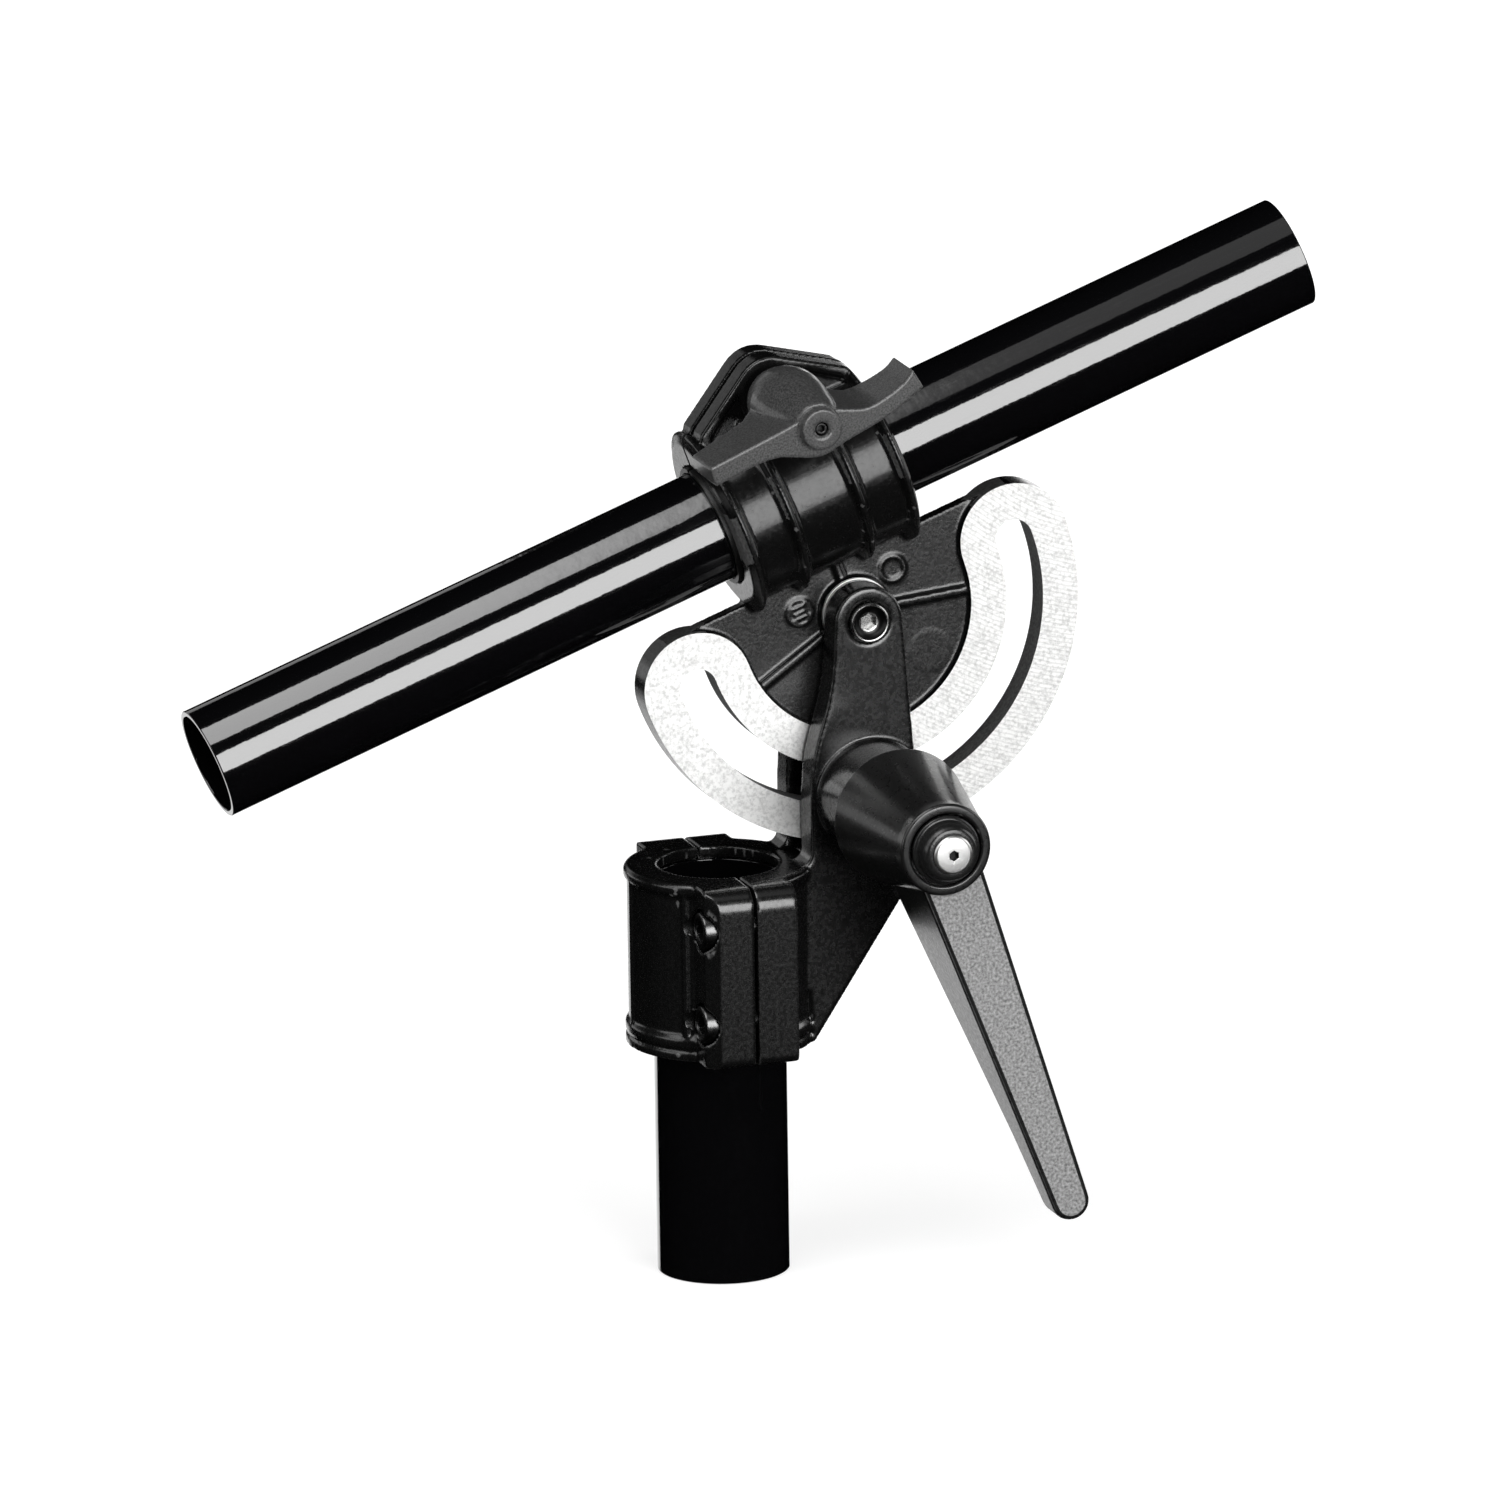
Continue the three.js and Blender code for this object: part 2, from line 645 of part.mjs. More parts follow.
function pivotNut() {
  const front = armFace + slack;
  const bore = solid(disc(pivotShank + threadSlack, armFace, armFace * 2, 0, smallSides));
  return piece("pivot_nut",
    cut(solid(hexagon(pivotNutAcross, front, front + pivotNutHeight)), bore), darkSteel);
}

function pivotWashers() {
  return [["front", -padHalf - slack - washerThickness], ["rear", padHalf + slack]].map(
    ([side, from]) => piece(`pivot_washer_${side}`,
      solid(disc(pivotBoss, from, from + washerThickness, pivotShank + threadSlack)), steel));
}

function clampBolt() {
  const seat = armFace + plateWasherThickness + slack * 2;
  const head = hexagon(clampBoltHeadAcross, seat, seat + clampBoltHeadHeight);
  const shank = disc(clampBoltShank, -bossEnd - clampBoltEnd, seat + slack, 0, smallSides);
  return piece("clamp_bolt", join(solid(head), solid(shank)), darkSteel);
}

function clampWashers() {
  const bore = clampBoltShank + threadSlack;
  const rear = armFace + slack;
  const front = -bossEnd - slack;
  return [
    piece("clamp_washer_rear",
      solid(disc(plateWasherRadius, rear, rear + plateWasherThickness, bore)), steel),
    piece("clamp_washer_front",
      solid(disc(bossWasherRadius, front - bossWasherThickness, front, bore)), steel),
  ];
}

function slotBush() {
  const half = armGap - slack;
  return piece("slot_bush",
    solid(disc(slotBushRadius, -half, half, clampBoltShank + slack, smallSides)), steel);
}

// Clamp lever and what turns with it

const coreBack = -bossEnd - slack * 2 - bossWasherThickness;
const toothBack = coreBack - coreFlange - slack;
const toothFront = toothBack - toothLength;
const recessFloor = -hubFront + hubRecess;
const capBack = -hubFront - capRim + capRim * 2;

// A star of teeth, drawn in X and Z, half of each tooth's corners at its tip.
function star(root, tip) {
  const corners = teeth * toothCorners;
  const points = Array.from({ length: corners }, (_, i) => {
    const angle = (i / corners) * Math.PI * 2;
    const radius = i % toothCorners < toothCorners / 2 ? tip : root;
    return new THREE.Vector2(radius * Math.cos(angle), radius * Math.sin(angle));
  });
  return new THREE.Shape(points);
}

function leverCore() {
  const body = solid(turned([
    [0, coreBack], [coreRadius, coreBack], [coreRadius, coreBack - coreFlange],
    [coreNeck, coreBack - coreFlange], [coreNeck, capBack + slack], [0, capBack + slack],
  ], smallSides + curveSteps));
  const toothed = solid(plate(star(toothRoot, toothTip), toothFront, coreBack - coreFlange / 2));
  const bore = solid(disc(clampBoltShank + threadSlack, -bossEnd - clampBoltEnd - slack, 0, 0, smallSides));
  const thread = solid(disc(capScrewShank + slack, -hubFront * 2, capBack + capScrewEnd + slack,
    0, smallSides));
  return piece("lever_core", cut(join(body, toothed), bore, thread), darkSteel);
}

// The lever's arm: its face in X and Z hangs straight down, and its back slopes toward the tip.
function leverArm() {
  const outline = (extra) => {
    const shape = new THREE.Shape();
    const end = leverLength - leverTip;
    shape.moveTo(-leverRootHalf - extra, 0);
    shape.lineTo(-leverTip - extra, -end);
    shape.absarc(0, -end, leverTip + extra, Math.PI, Math.PI * 2);
    shape.lineTo(leverRootHalf + extra, 0);
    shape.closePath();
    return shape;
  };
  const front = solid(plate(outline(0), -leverFace, -leverFace + leverRootDepth + leverTip));
  const flank = solid(plate(outline(leverFlank), -leverFace + leverFlank,
    -leverFace + leverRootDepth + leverTip));
  const side = new THREE.Shape();
  side.moveTo(-leverFace - past, past);
  side.lineTo(-leverFace - past, -leverLength * 2);
  side.lineTo(-leverFace + leverTipDepth, -leverLength * 2);
  side.lineTo(-leverFace + leverTipDepth, -leverLength);
  side.lineTo(-leverFace + leverWaistDepth, -leverWaist);
  side.lineTo(-leverFace + leverRootDepth, -hubRadius);
  side.lineTo(-leverFace + leverRootDepth, past);
  side.closePath();
  const wedge = new THREE.ExtrudeGeometry(side, { depth: leverLength, bevelEnabled: false })
    .rotateX(quarter).rotateZ(quarter).translate(-leverLength / 2, 0, 0);
  return join(front, flank).intersect(solid(wedge)).rotate([0, -THREE.MathUtils.radToDeg(leverSwing), 0]);
}

function clampLever() {
  const hub = solid(turned([
    [0, -skirtBack], [skirtRadius, -skirtBack], [hubRadius, -hubFront + hubBand],
    [hubRadius, -hubFront], [0, -hubFront],
  ]));
  const skirt = solid(turned([
    [0, -skirtBack + past], [skirtRadius - skirtWall, -skirtBack + past],
    [skirtRadius - skirtWall, -skirtBack],
    [coreRadius + slack * 2, -skirtBack - skirtDepth], [0, -skirtBack - skirtDepth],
  ]));
  const recess = solid(disc(hubLipInner, -hubFront * 2, recessFloor));
  const bore = solid(plate(star(toothRoot + slack, toothTip + slack), -hubFront, 0));
  const clear = solid(disc(toothTip + slack * 2, -skirtBack - past, toothBack + slack));
  const free = solid(disc(toothTip + slack * 2, recessFloor - slack, toothFront - liftStroke));
  const body = cut(join(hub, leverArm()), skirt, recess, bore, clear.subtract(
    solid(disc(toothTip * 2, -hubFront * 2, toothBack))), free);
  return piece("clamp_lever", body, leverGrey);
}

function leverCap() {
  const crown = capBack - capRim - capHeight;
  const body = turned([
    [capScrewShank + slack, capBack], [capRadius, capBack], [capRadius, capBack - capRim],
    [capRadius - capRim, capBack - capRim - capHeight / 2],
    [capCrown + capRim, crown + capRim / 2], [capCrown, crown], [capScrewShank + slack, crown],
  ]);
  return piece("lever_cap", solid(body), greyPlastic);
}

function leverScrew() {
  const seat = capBack - capRim - capHeight - slack;
  const crown = seat - capScrewProud;
  const body = solid(turned([
    [0, crown], [capScrewHead - capScrewProud, crown], [capScrewHead, seat],
    [capScrewShank, seat], [capScrewShank, capBack + capScrewEnd], [0, capBack + capScrewEnd],
  ], smallSides + curveSteps));
  const key = solid(hexagon(capScrewSocket, crown - slack, crown + capScrewSocketDepth));
  return piece("lever_screw", cut(body, key), steel);
}

// The whole head

function group(x, y, z, ...members) {
  const made = new THREE.Group();
  made.position.set(x, y, z);
  made.add(...members);
  return made;
}

const knob = group(earPlace, 0, pivotOffset + earBolt, earBoltPiece(), knobWasher(), tKnob(), knobScrew());
const cradle = group(pivotOffset, 0, pivotHeight, boomCradle(), boomLiner(), boomTube(), knob);
cradle.rotation.y = -boomTilt;

const pivot = group(pivotOffset, 0, pivotHeight, pivotBolt(), pivotNut(), ...pivotWashers());
const clamp = group(pivotOffset, 0, pivotHeight - slotRadius,
  clampBolt(), ...clampWashers(), slotBush(), leverCore(), clampLever(), leverCap(), leverScrew());

const boomStand = group(0, 0, 0, columnTube(), clampCap(), bracket(), ...clampScrews(),
  pivot, clamp, cradle);
boomStand.name = "boom_stand";

export default boomStand;
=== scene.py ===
# %% [markdown]
# A boom stand carries a microphone or a lamp on a long tube, the boom, which tilts and slides
# in a head on top of a column. This lesson dresses that head. The CAD model comes first and
# stays where it is, and every new piece is made in its frame, in metres with Z up, so a size
# taken from it needs no fitting.

import math

import bpy
from mathutils import Matrix, Vector


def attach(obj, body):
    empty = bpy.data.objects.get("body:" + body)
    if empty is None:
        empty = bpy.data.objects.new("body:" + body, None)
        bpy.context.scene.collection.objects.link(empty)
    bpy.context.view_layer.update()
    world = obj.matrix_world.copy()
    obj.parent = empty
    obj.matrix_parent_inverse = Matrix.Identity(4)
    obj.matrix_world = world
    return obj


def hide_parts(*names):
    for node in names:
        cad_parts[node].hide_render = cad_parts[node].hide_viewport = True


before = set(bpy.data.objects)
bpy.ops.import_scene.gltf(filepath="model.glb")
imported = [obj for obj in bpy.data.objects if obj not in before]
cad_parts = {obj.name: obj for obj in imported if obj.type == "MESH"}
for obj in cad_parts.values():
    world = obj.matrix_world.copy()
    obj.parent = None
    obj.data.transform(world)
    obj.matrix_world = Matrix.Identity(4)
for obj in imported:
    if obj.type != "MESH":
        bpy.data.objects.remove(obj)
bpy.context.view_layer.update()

# %% [markdown]
# The head has two directions of its own. The column and its bracket stand upright, while the
# boom, its collar and the knob lie 20 degrees up from level. A helper for each turns
# millimetres from the pivot, where the two meet, into the frame's metres.

# %% Places on the head
MM = 0.001
TOUCHING = MM / 1000
PIVOT = Vector((38, 0, 175))
SLOPE = math.radians(20)
ALONG = Vector((math.cos(SLOPE), 0, math.sin(SLOPE)))
ABOVE = Vector((-math.sin(SLOPE), 0, math.cos(SLOPE)))
FRONT = Vector((0, -1, 0))
BOOM_RISE = 38
CLAMP_DROP = 46.75
EAR_ALONG, EAR_RISE = -1, 66.5


def on_boom(x, y, z):
    return (PIVOT + ALONG * x + ABOVE * z + Vector((0, y, 0))) * MM


def on_bracket(x, y, z):
    return (PIVOT + Vector((x, y, z))) * MM


pivot_place = on_bracket(0, 0, 0)
clamp_place = on_bracket(0, 0, -CLAMP_DROP)
ear_place = on_boom(EAR_ALONG, 0, EAR_RISE)
print("pivot", tuple(pivot_place), "clamp bolt", tuple(clamp_place), "ear bolt", tuple(ear_place))

# %% [markdown]
# Most of the hardware is turned on a lathe. The same is done here: a corner of a plane is
# pulled round the half section point by point, and Spin sweeps it about the axis. Most axes
# run from back to front, so that is what the helper takes unless it is told otherwise. Another
# helper closes such a line to a face and pulls it to a thickness, as sheet and castings are
# drawn.


# %% Draw, turn and pull
def clear_selection():
    if bpy.context.mode != "OBJECT":
        bpy.ops.object.mode_set(mode="OBJECT")
    bpy.ops.object.select_all(action="DESELECT")


def work_on(piece):
    clear_selection()
    piece.select_set(True)
    bpy.context.view_layer.objects.active = piece


def trace(name, points):
    """A closed line through the points, left open in edit mode and selected."""
    clear_selection()
    bpy.ops.mesh.primitive_plane_add(size=MM, location=points[0])
    drawn = bpy.context.object
    drawn.name = drawn.data.name = name
    bpy.ops.object.transform_apply(location=True)
    bpy.ops.object.mode_set(mode="EDIT")
    bpy.ops.mesh.select_mode(type="VERT")
    bpy.ops.mesh.merge(type="CENTER")
    for here, there in zip(points, points[1:] + points[:1]):
        bpy.ops.mesh.extrude_vertices_move(TRANSFORM_OT_translate={"value": there - here})
    bpy.ops.mesh.select_all(action="SELECT")
    bpy.ops.mesh.remove_doubles(threshold=TOUCHING)
    return drawn


def turned(name, section, place, axis=FRONT, up=ABOVE, steps=96):
    """Spins a section of (radius, station) pairs in millimetres about an axis."""
    points = [place + (up * radius + axis * station) * MM for radius, station in section]
    drawn = trace(name, points)
    bpy.ops.mesh.spin(steps=steps, angle=math.tau, center=place, axis=axis)
    bpy.ops.mesh.select_all(action="SELECT")
    bpy.ops.mesh.remove_doubles(threshold=TOUCHING)
    bpy.ops.mesh.dissolve_degenerate(threshold=TOUCHING)
    bpy.ops.mesh.delete_loose()
    bpy.ops.mesh.select_all(action="SELECT")
    bpy.ops.mesh.normals_make_consistent(inside=False)
    clear_selection()
    return drawn


def sleeve(name, inner, outer, start, end, place, axis=FRONT, up=ABOVE, steps=96):
    """A turned sleeve between two stations, or a solid rod where the inner radius is 0."""
    section = [(inner, start), (outer, start), (outer, end), (inner, end)]
    return turned(name, section, place, axis, up, steps)


def pulled(name, points, along):
    """Closes a line to a face and pulls it into a solid."""
    drawn = trace(name, points)
    bpy.ops.mesh.edge_face_add()
    bpy.ops.mesh.extrude_region_move(TRANSFORM_OT_translate={"value": along})
    bpy.ops.mesh.select_all(action="SELECT")
    bpy.ops.mesh.normals_make_consistent(inside=False)
    clear_selection()
    return drawn


def pick(piece, kind, test):
    """Opens a piece in edit mode with only those vertices or edges selected that pass a test."""
    work_on(piece)
    bpy.ops.object.mode_set(mode="EDIT")
    bpy.ops.mesh.select_all(action="DESELECT")
    bpy.ops.object.mode_set(mode="OBJECT")
    for part in piece.data.edges if kind == "EDGE" else piece.data.vertices:
        part.select = test(part)
    bpy.ops.object.mode_set(mode="EDIT")
    bpy.ops.mesh.select_mode(type=kind)


# %% [markdown]
# Modifiers then do what the workshop does next: one piece is cut by another or welded to it,
# sharp edges are eased, and the shading is told which angles are real edges. Each is applied
# at once, so the piece that is handed on is a plain mesh.


# %% Cut, weld and ease
FLAT_TO_CORNER = math.cos(math.pi / 6)


def finish_with(piece, kind, **settings):
    """Gives a piece one modifier and applies it."""
    work_on(piece)
    step = piece.modifiers.new(kind.title(), kind)
    for setting, value in settings.items():
        setattr(step, setting, value)
    bpy.ops.object.modifier_apply(modifier=step.name)
    return piece


def cut_by(piece, *tools, operation="DIFFERENCE", solver="EXACT"):
    """Cuts a piece with tools that are used up by it."""
    for tool in tools:
        finish_with(piece, "BOOLEAN", object=tool, operation=operation, solver=solver)
        bpy.data.objects.remove(tool)
    return piece


def welded(piece, *others):
    return cut_by(piece, *others, operation="UNION")


def eased(piece, width, angle=30, segments=3):
    """Rounds the edges that are sharper than an angle in degrees, by a width in millimetres."""
    return finish_with(
        piece, "BEVEL", width=width * MM, segments=segments, limit_method="ANGLE",
        angle_limit=math.radians(angle), harden_normals=False,
    )


def smooth_shaded(piece, angle=35):
    """Rounds the shading, and lets the large faces keep theirs where a bevel meets them."""
    work_on(piece)
    bpy.ops.object.shade_smooth_by_angle(angle=math.radians(angle))
    return finish_with(piece, "WEIGHTED_NORMAL", keep_sharp=True)


def hex_key(place, axis, half_flats, depth):
    """A six-sided cutter for a socket, with its open end at the place."""
    clear_selection()
    bpy.ops.mesh.primitive_cylinder_add(
        vertices=6, radius=half_flats / FLAT_TO_CORNER * MM, depth=2 * depth * MM,
        location=place, rotation=axis.to_track_quat("Z", "Y").to_euler(),
    )
    key = bpy.context.object
    bpy.ops.object.transform_apply(location=True, rotation=True, scale=True)
    return key


# %% [markdown]
# Every new piece is handed over in the same way: it rides on the CAD body that carries it and stands
# for its CAD node, which is then hidden. Hardware also has its edges eased and its shading smoothed
# right before that.


# %% Hand a piece over
dressed = {}


def stands_for(piece, cad_node, body):
    piece.name = piece.data.name = cad_node + "_dressed"
    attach(piece, body)
    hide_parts(cad_node)
    dressed[cad_node] = piece
    triangles = sum(len(face.vertices) - 2 for face in piece.data.polygons)
    print(piece.name, triangles, "triangles")


def ease_and_hand_over(piece, cad_node, body, width, angle=50, segments=2):
    eased(piece, width, angle, segments)
    smooth_shaded(piece)
    stands_for(piece, cad_node, body)


# %% [markdown]
# The boom is a drawn steel tube of 30 mm and the column one of 35 mm, both 1.6 mm thick. Each
# is turned as a ring with its wall, so the open ends show their thickness, and its rims are
# eased as a deburring tool leaves them.


# %% Tubes
TUBE_WALL = 1.6
UP = Vector((0, 0, 1))
RIGHT = Vector((1, 0, 0))
COLUMN_FOOT = Vector((0, 0, 0))


def tube(cad_node, body, radius, start, end, place, axis, up):
    made = sleeve(cad_node, radius - TUBE_WALL, radius, start, end, place, axis, up, steps=160)
    ease_and_hand_over(made, cad_node, body, 0.35, angle=60, segments=3)


tube("boom_tube", "boom", 15, -175, 144.5, on_boom(0, 0, BOOM_RISE), ALONG, ABOVE)
tube("column_tube", "head", 17.5, 0, 106.8, COLUMN_FOOT, UP, RIGHT)

# %% [markdown]
# Bolts, nuts and washers are bought parts, turned or cold headed and blackened or plated.
# Their half sections are spun, a hexagon is cut in for the key, and the edges get a small
# bevel, because it is the thin bright line on an edge that makes steel look like steel.


# %% Pivot bolt, nut and washers
BOLT_HOLE = 4.35
NUT_HALF = 6.5


def hex_block(place, axis, half_flats, start, end):
    """A nut or bolt head: a hexagon whose corners are turned off at its outer end."""
    clear_selection()
    corner = half_flats / FLAT_TO_CORNER
    bpy.ops.mesh.primitive_cylinder_add(
        vertices=6, radius=corner * MM, depth=(end - start) * MM,
        location=place + axis * (start + end) / 2 * MM,
        rotation=axis.to_track_quat("Z", "Y").to_euler(),
    )
    block = bpy.context.object
    bpy.ops.object.transform_apply(location=True, rotation=True, scale=True)
    chamfer = (corner - half_flats) * 0.8
    form = turned("form", [(0, start), (corner * 1.01, start), (corner * 1.01, end - chamfer),
                           (half_flats * 0.96, end), (0, end)], place, axis)
    return cut_by(block, form, operation="INTERSECT")


def ring(cad_node, body, place, outer, bore, start, end):
    made = sleeve(cad_node, bore, outer, start, end, place)
    ease_and_hand_over(made, cad_node, body, 0.18, angle=60)


pivot_bolt = turned("pivot_bolt", [
    (0, 13.9), (2.6, 13.9), (3.4, 14.2), (4.2, 14.9), (4.55, 15.55), (4.85, 15.6), (5.1, 15.45),
    (5.3, 15.1), (5.3, 11.7), (4, 11.7), (4, -20), (3.6, -20.6), (0, -20.6)], pivot_place)
cut_by(pivot_bolt, hex_key(on_bracket(0, -14.4, 0), FRONT, 2.0, 2.4))
ease_and_hand_over(pivot_bolt, "pivot_bolt", "head", 0.12)

pivot_nut = hex_block(pivot_place, -FRONT, NUT_HALF, 14.7, 20.9)
cut_by(pivot_nut, sleeve("bore", 0, BOLT_HOLE, -22, -13, pivot_place))
ease_and_hand_over(pivot_nut, "pivot_nut", "head", 0.2, angle=40)
ring("pivot_washer_front", "head", pivot_place, 9.6, BOLT_HOLE, 4.45, 5.1)
ring("pivot_washer_rear", "head", pivot_place, 9.6, BOLT_HOLE, -5.1, -4.45)

# %% [markdown]
# The clamp bolt runs through the arms and the slot. Its hexagon head is at the back, and the
# lever's nut pulls on its front end. The shank is turned and then welded to the head, because
# a head and a shank are each simple alone. A bush keeps the bolt off the slot's walls.

# %% Clamp bolt and its washers
clamp_bolt = hex_block(clamp_place, -FRONT, NUT_HALF, 16.6, 21.9)
welded(clamp_bolt, turned("shank", [(0, -17.6), (4, -17.6), (4, 57.6), (3.3, 58.3), (0, 58.3)],
                          clamp_place))
ease_and_hand_over(clamp_bolt, "clamp_bolt", "head", 0.2, angle=40)
ring("clamp_washer_front", "head", clamp_place, 8.5, BOLT_HOLE, 36.6, 38)
ring("clamp_washer_rear", "head", clamp_place, 8.4, BOLT_HOLE, -16.3, -14.7)
ring("slot_bush", "head", clamp_place, 4.8, 4.3, -5.1, 5.1)

# %% [markdown]
# The ear bolt has a low domed head, so one spun section makes all of it. The washer under the
# knob and the small socket screw in the knob's face turn and travel with the knob, so they
# ride on its bodies.

# %% Ear bolt, knob washer and knob screw
ear_bolt = turned("ear_bolt", [
    (0, 38), (3.4, 38), (4, 37.4), (4, -7.8), (6.5, -7.8), (6.5, -8.9), (6.1, -9.9),
    (5.2, -10.7), (3.9, -11.2), (2.2, -11.4), (0, -11.4)], ear_place)
ease_and_hand_over(ear_bolt, "ear_bolt", "cradle", 0.15)
ring("knob_washer", "washer", ear_place, 6.4, BOLT_HOLE, 7.8, 9.3)
knob_screw = turned("knob_screw", [(0, 43.2), (1.6, 43.2), (1.6, 47.3), (1.4, 47.6), (0, 47.6)],
                    ear_place)
cut_by(knob_screw, hex_key(on_boom(EAR_ALONG, -47.6, EAR_RISE), FRONT, 0.85, 2))
ease_and_hand_over(knob_screw, "knob_cap_screw", "knob", 0.1)

# %% [markdown]
# Four equal socket screws pull the column clamp's halves together. One is modelled at its
# place, and the other three are copies that are moved to theirs.

# %% Clamp screws
LEFT = Vector((-1, 0, 0))
SCREW_REACH, SCREW_MIDDLE, SCREW_RISE = 24.6, 86.45, 12.7
screw_place = Vector((0, -SCREW_REACH, SCREW_MIDDLE - SCREW_RISE)) * MM
screw = turned("screw", [
    (0, -8.6), (2.6, -8.6), (3, -8.2), (3, 8.2), (5, 8.2), (5, 12.9), (4.8, 13.4), (4.3, 13.6),
    (3.4, 13.6), (3.0, 13.3), (0, 13.3)], screw_place, LEFT, UP, steps=64)
cut_by(screw, hex_key(screw_place + LEFT * 13.6 * MM, LEFT, 2.5, 3.2))
eased(screw, 0.12, angle=50, segments=2)
smooth_shaded(screw)
for back, side in ((0, "front"), (2 * SCREW_REACH, "rear")):
    for rise, level in ((0, "lower"), (2 * SCREW_RISE, "upper")):
        placed = screw
        if back or rise:
            work_on(screw)
            bpy.ops.object.duplicate(linked=False)
            placed = bpy.context.object
            bpy.ops.transform.translate(value=Vector((0, back, rise)) * MM)
            bpy.ops.object.transform_apply(location=True)
            placed.parent = None
        stands_for(placed, f"clamp_screw_{side}_{level}", "head")

# %% [markdown]
# The castings are zinc or aluminium, poured in a mould: every edge is round, and where two
# forms meet there is a small fillet. Modelling each fillet by hand would take a day, so the
# casting is made as it is in the foundry. The CAD node's form is copied, anything that has to
# be smoother is laid over it, and a voxel remesh melts all of it into one skin, which is then
# smoothed. Machined surfaces come last, cut sharp with Boolean tools.


# %% Cast a blank
def copy_of(cad_node):
    clear_selection()
    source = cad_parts[cad_node]
    blank = bpy.data.objects.new(cad_node + "_blank", source.data.copy())
    bpy.context.scene.collection.objects.link(blank)
    work_on(blank)
    bpy.ops.object.mode_set(mode="EDIT")
    bpy.ops.mesh.select_all(action="SELECT")
    bpy.ops.mesh.remove_doubles(threshold=TOUCHING)
    clear_selection()
    return blank


def cast(name, parts, grain, passes, keep):
    """Melts parts into one skin with voxels of the grain's size, and smooths its edges."""
    work_on(parts[0])
    for part in parts[1:]:
        part.select_set(True)
    bpy.ops.object.join()
    casting = bpy.context.object
    casting.name = name
    finish_with(casting, "REMESH", mode="VOXEL", voxel_size=grain * MM, use_smooth_shade=True)
    finish_with(casting, "SMOOTH", factor=0.5, iterations=passes)
    finish_with(casting, "DECIMATE", ratio=keep)
    print(name, len(casting.data.polygons), "faces cast")
    return casting


def box_tool(low, high, place=on_boom):
    """A block between two corners, which follows the boom's slope or the bracket."""
    corners = ((low[0], low[2]), (high[0], low[2]), (high[0], high[2]), (low[0], high[2]))
    points = [place(x, low[1], z) for x, z in corners]
    return pulled("cutter", points, Vector((0, high[1] - low[1], 0)) * MM)


# %% [markdown]
# The quadrant, the neck, the collar and its two ears are one casting. The collar is what the
# light shows most, so a finely turned skin goes over its barrel, flanges and beads. The band
# and the pivot boss are cast too thick, as in the foundry, so that there is metal to machine
# away. A round mark and three short bars stand up a little from the plate.

# %% Boom cradle
SLOT_RADIUS, SLOT_HALF, BAND_HALF = CLAMP_DROP, 5.1, 14.85
RAW_HALF, MILLED, BEYOND = 5.2, 4.15, 9


def band_outline(half, y, steps=72):
    """A half ring with round ends, hanging below the pivot."""
    points = []

    def sweep(x, radius, start, end, count):
        for step in range(count):
            turn = math.radians(start + (end - start) * step / count)
            points.append(on_boom(x + radius * math.cos(turn), y, radius * math.sin(turn)))

    sweep(0, SLOT_RADIUS + half, -180, 0, steps)
    sweep(SLOT_RADIUS, half, 0, 180, steps // 3)
    sweep(0, SLOT_RADIUS - half, 0, -180, steps)
    sweep(-SLOT_RADIUS, half, 0, 180, steps // 3)
    return points


def band(half, back, front):
    return pulled("band", band_outline(half, back), Vector((0, front - back, 0)) * MM)


collar_place = on_boom(-2, 0, BOOM_RISE)
collar_section = [(17, -24.5), (22.8, -24.5), (25.9, -23.2), (25.9, -22.2), (23.12, -20.9),
                  (23.12, -11.3), (25.5, -10), (25.5, -9), (23.12, -7.7)]
collar_section += [(radius, -station) for radius, station in reversed(collar_section)]
raw_parts = [
    copy_of("boom_cradle"),
    turned("collar_skin", collar_section, collar_place, ALONG, steps=192),
    cut_by(band(BAND_HALF, -RAW_HALF, RAW_HALF), band(SLOT_HALF, -BEYOND, BEYOND)),
    sleeve("boss_skin", 4, 9.6, -RAW_HALF, RAW_HALF, pivot_place),
    sleeve("mark", 0, 5.6, 1.5, 2.18, on_boom(15.4, 0, -19)),
]
for rise in (-1.5, 0, 1.5):
    middle = 6.15 + rise
    raw_parts.append(box_tool((-15.7, -2.6, middle - 0.35), (-11.7, -1.5, middle + 0.35)))
cradle = cast("cradle", raw_parts, grain=0.42, passes=5, keep=0.42)

# %% [markdown]
# Machining comes next. A cutter takes each face of the band and the boss down to size, which
# leaves sharp bright faces with dark painted walls, and then the boom's bore, the collar's
# split and the bolt holes are cut. The cutters and the casting are all closed, so the fastest
# of the Boolean solvers does.


# %% Machine the cradle
def slit(height):
    """A cutter for the 1.6 mm split in the top of the collar and its liner."""
    return box_tool((-40, -0.8, BOOM_RISE), (40, 0.8, BOOM_RISE + height))


for side in (-1, 1):
    low, high = sorted((side * MILLED, side * BEYOND))
    cut_by(cradle, band(BAND_HALF + 0.7, low, high), sleeve("facer", 0, 10.4, low, high, pivot_place),
           solver="MANIFOLD")
cut_by(
    cradle,
    sleeve("bore", 0, 16.8, -40, 40, collar_place, ALONG, steps=160),
    slit(60),
    sleeve("drill", 0, BOLT_HOLE, -12, 12, pivot_place),
    sleeve("drill", 0, BOLT_HOLE, -12, 12, ear_place),
    solver="MANIFOLD",
)
smooth_shaded(cradle, 40)
stands_for(cradle, "boom_cradle", "cradle")

# %% [markdown]
# The liner is a split nylon sleeve that lets the boom slide without scratching. Only its
# lips show, beyond the collar's ends, so it is turned as a plain sleeve and slit.

# %% Liner
liner = sleeve("liner", 15.3, 16.5, -25.5, 25.5, collar_place, ALONG, steps=128)
cut_by(liner, slit(30))
ease_and_hand_over(liner, "boom_liner", "cradle", 0.25, angle=60)

